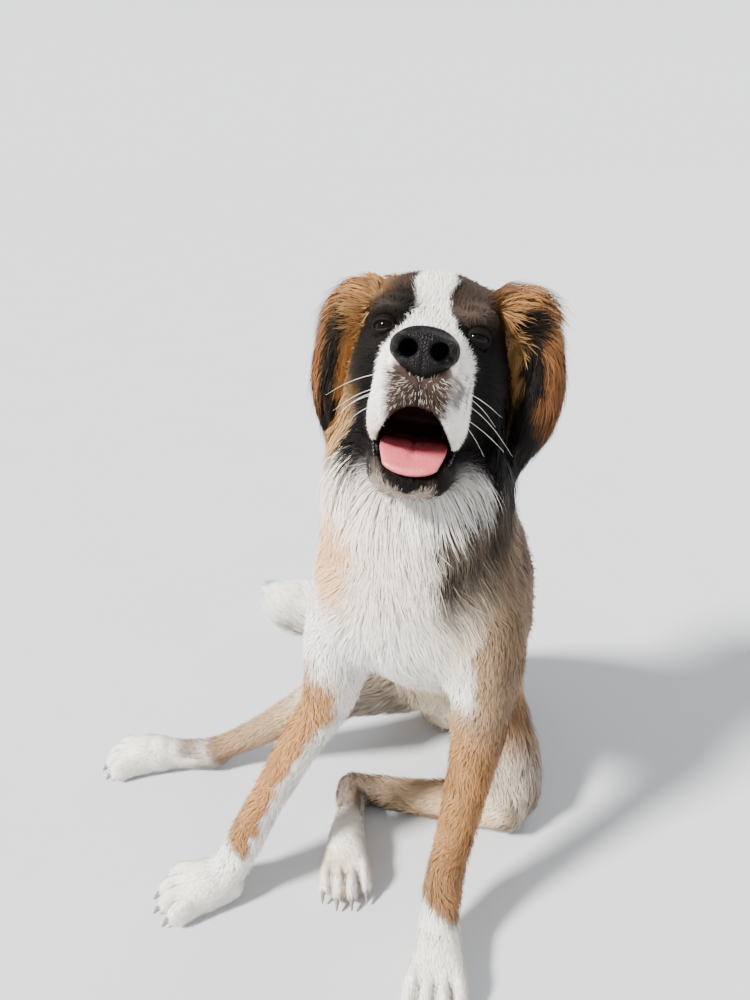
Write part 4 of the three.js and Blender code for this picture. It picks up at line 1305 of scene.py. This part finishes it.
eye_material = eye_look()
lid_material = fur_look("lid_skin", 1200.0, 0.3)
for side, sign in SIDES.items():
    centre = on_head(EYE[0], EYE[1] * sign, EYE[2])
    axes = eye_axes(sign)
    eye = eyeball(side, centre, axes, eye_material)
    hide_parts(f"eye_{side}")
    lids = eyelids(side, centre, axes, lid_material)


# Nose leather, with its nostrils and the groove between them
NOSTRIL_ROWS = [(-8, 13, 4, 8, 7.5), (3, 14, 4, 8, 7.5), (12, 13, 6, 6.5, 6), (19, 10, 8, 4, 4)]
SLIT_ROWS = [(-4, 15, 0, 5, 5), (0, 21, -4, 4, 4), (7, 27, -6, 3, 3), (14, 31, -6, 2, 2)]
GROOVE_ROWS = [(-5, 0, 2, 0.9, 1.5), (-3, 0, -12, 1.1, 3), (4, 0, -26, 1.1, 4)]


def nose_mesh():
    middle = on_head(20, 0, 5)
    nose = Field(middle - 60, middle + 60, FINE_VOXEL)
    nose.join(nose_core())

    def carve(rows, sign=1):
        nose.cut(sweep(Trunk(head_rows(rows, sign), LEFT), (2, 2)), 3)

    for sign in SIDES.values():
        nose.join(ball(on_head(3, 23 * sign, 6), (7, 8, 9)), 8)
        carve(NOSTRIL_ROWS, sign)
        carve(SLIT_ROWS, sign)
    carve(GROOVE_ROWS)
    return nose.surface()


leather = Look("nose_leather", Specular_IOR_Level=0.1)
cells = leather.node("TexVoronoi", {"Vector": leather.place(), "Scale": 620.0}, feature="F1")
leather.set("Normal", leather.bump(cells.outputs["Distance"], 0.7, 0.0012))
leather.set("Roughness", leather.span(leather.grain(300.0), 0.28, 0.5))
leather.mottle(leather.grain(700.0), (0.002, 0.0017, 0.0019), (0.006, 0.005, 0.0052))
nose = to_mesh("nose_pad", *nose_mesh(), look=leather.material)
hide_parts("nose")

# Tongue, hollowed along its middle
verts, faces = sweep(TONGUE, (10, 8), 0.0, 64, 16)
_, s, _ = head_places(verts)
reach = TONGUE.locate(verts)[0]
curl = 5.0 * (abs(s) / 30) ** 2 - 2.2 * np.exp(-((s / 2.6) ** 2)) * fade(reach, 0.8, 0.95)
muscle = Look("tongue", Roughness=0.3, Subsurface_Weight=0.15, Coat_Weight=0.4, Coat_Roughness=0.15)
muscle.shader.inputs["Subsurface Radius"].default_value = (0.006, 0.002, 0.0015)
muscle.mottle(muscle.grain(90.0), (0.50, 0.060, 0.085), (0.66, 0.15, 0.17))
muscle.set("Normal", muscle.bump(muscle.grain(480.0), 0.8, 0.0012))
tongue = to_mesh("tongue_blade", verts + CROWN * curl[:, None], faces, look=muscle.material)
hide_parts("tongue")


# Whiskers from the sides of the muzzle, and the wet knobs along the lower lips
def joined(meshes):
    """Several closed meshes as one"""
    first = np.cumsum([0] + [len(points) for points, _ in meshes])
    points = np.vstack([points for points, _ in meshes])
    return points, np.concatenate([faces + start for (_, faces), start in zip(meshes, first)])


WHISKERS = 5
WHISKER_RADII = ((0, 0.22), (0.3, 0.2), (0.65, 0.14), (1, 0.05))


def whisker(side, number, draw):
    """One whisker of a side, a little different from the next"""
    root = on_head(34 + 6 * number, 40 * side, -20 - 6 * number + draw.normal(0, 3))
    forward, down = draw.normal(0.15, 0.2), draw.normal(0.25 + 0.08 * number, 0.15)
    away = unit(0.8 * side * LEFT + forward * AHEAD - down * CROWN)
    reach = draw.uniform(32, 56)
    bend = -draw.uniform(0.2, 0.5) * UP - 0.2 * AHEAD
    stations = [(root + (away * share + bend * share**2) * reach, r, r) for share, r in WHISKER_RADII]
    return sweep(Trunk(stations, CROWN), (0.3, 0.1), 0.0, 6, 5)


stiff = Look("whisker", Roughness=0.4)
stiff.mottle(stiff.grain(300.0), (0.72, 0.70, 0.66), (0.85, 0.83, 0.79))
draw = np.random.default_rng(5)
hairs = [whisker(side, number, draw) for side in SIDES.values() for number in range(WHISKERS)]
whiskers = to_mesh("whiskers", *joined(hairs), look=stiff.material)

wet = Look("wet_lip", Specular_IOR_Level=0.35)
wet.mottle(wet.grain(400.0), (0.006, 0.004, 0.004), (0.018, 0.011, 0.011))
wet.set("Roughness", wet.span(wet.grain(500.0), 0.12, 0.35))
knobs = []
for side in SIDES.values():
    for number, b in enumerate(np.linspace(58, 122, 11)):
        half = np.interp(b, [26, 66, 104, 134], [46, 45, 43, 37])
        size = 1.8 + 0.5 * np.sin(2.3 * number)
        knobs.append(ball(on_jaw(b, side * (half - 3), 7), (size, size * 1.1, size * 1.2), rings=8, sides=14))
lip_knobs = to_mesh("lip_knobs", *joined(knobs), look=wet.material)

# Claws
horn = Look("claw", Roughness=0.35)
horn.mottle(horn.grain(90.0, stretch=(1, 1, 4)), (0.10, 0.075, 0.06), (0.30, 0.24, 0.19))
for name, paw in PAWS.items():
    for i, trunk in enumerate(paw.claws, 1):
        claw = to_mesh(f"nail_{name}_{i}", *sweep(trunk, (2, 1.5), 0.0, 20, 8), look=horn.material)
        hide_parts(f"claw_{name}_{i}")


# Studio: pale floor, soft lights and the photo's view
def in_scene(name, data):
    thing = bpy.data.objects.new(name, data)
    bpy.context.scene.collection.objects.link(thing)
    return thing


def pale_floor():
    mesh = bpy.data.meshes.new("floor")
    turns = np.linspace(0, 2 * np.pi, 96, endpoint=False)
    rim = [(FLOOR_RADIUS * np.cos(q), FLOOR_RADIUS * np.sin(q), 0) for q in turns]
    mesh.from_pydata(rim, [], [list(range(len(rim)))])
    look = Look("floor", Roughness=0.8)
    look.mottle(look.grain(3.0), (0.535, 0.555, 0.585), (0.57, 0.59, 0.62))
    mesh.materials.append(look.material)
    floor = in_scene("floor", mesh)


def sun(name, towards, spread, strength, colour=(1, 1, 1)):
    data = bpy.data.lights.new(name, "SUN")
    data.angle, data.energy, data.color = np.radians(spread), strength, colour
    in_scene(name, data).rotation_euler = Vector(towards).to_track_quat("Z", "Y").to_euler()


def studio_sky():
    """Soft light from above, brighter round the horizon so that it meets the floor"""
    world = bpy.data.worlds.new("studio")
    world.use_nodes = True
    nodes, links = world.node_tree.nodes, world.node_tree.links
    parts = nodes.new("ShaderNodeSeparateXYZ")
    links.new(nodes.new("ShaderNodeTexCoord").outputs["Generated"], parts.inputs[0])
    ramp = nodes.new("ShaderNodeMapRange")
    for socket, value in {"From Min": 0.08, "From Max": 0.5, "To Min": HORIZON, "To Max": SKY}.items():
        ramp.inputs[socket].default_value = value
    ramp.interpolation_type = "SMOOTHSTEP"
    links.new(parts.outputs["Z"], ramp.inputs["Value"])
    links.new(ramp.outputs[0], nodes["Background"].inputs["Strength"])
    nodes["Background"].inputs["Color"].default_value = (0.97, 0.985, 1.0, 1)
    bpy.context.scene.world = world


pale_floor()
sun("key", (-0.70, -0.42, 0.70), 9, 12.5, (1.0, 0.965, 0.91))
sun("back", (0.5, 0.75, 0.6), 25, 1.0)
studio_sky()

view = bpy.data.cameras.new("camera")
view.sensor_fit = "HORIZONTAL"
view.sensor_width = 36
view.lens = CAMERA_LENS
camera = in_scene("camera", view)
camera.location = SHIFT + [0, 0, CAMERA_HEIGHT]
camera.rotation_euler = (np.radians(90 - CAMERA_DOWN), 0, 0)
bpy.context.scene.camera = camera
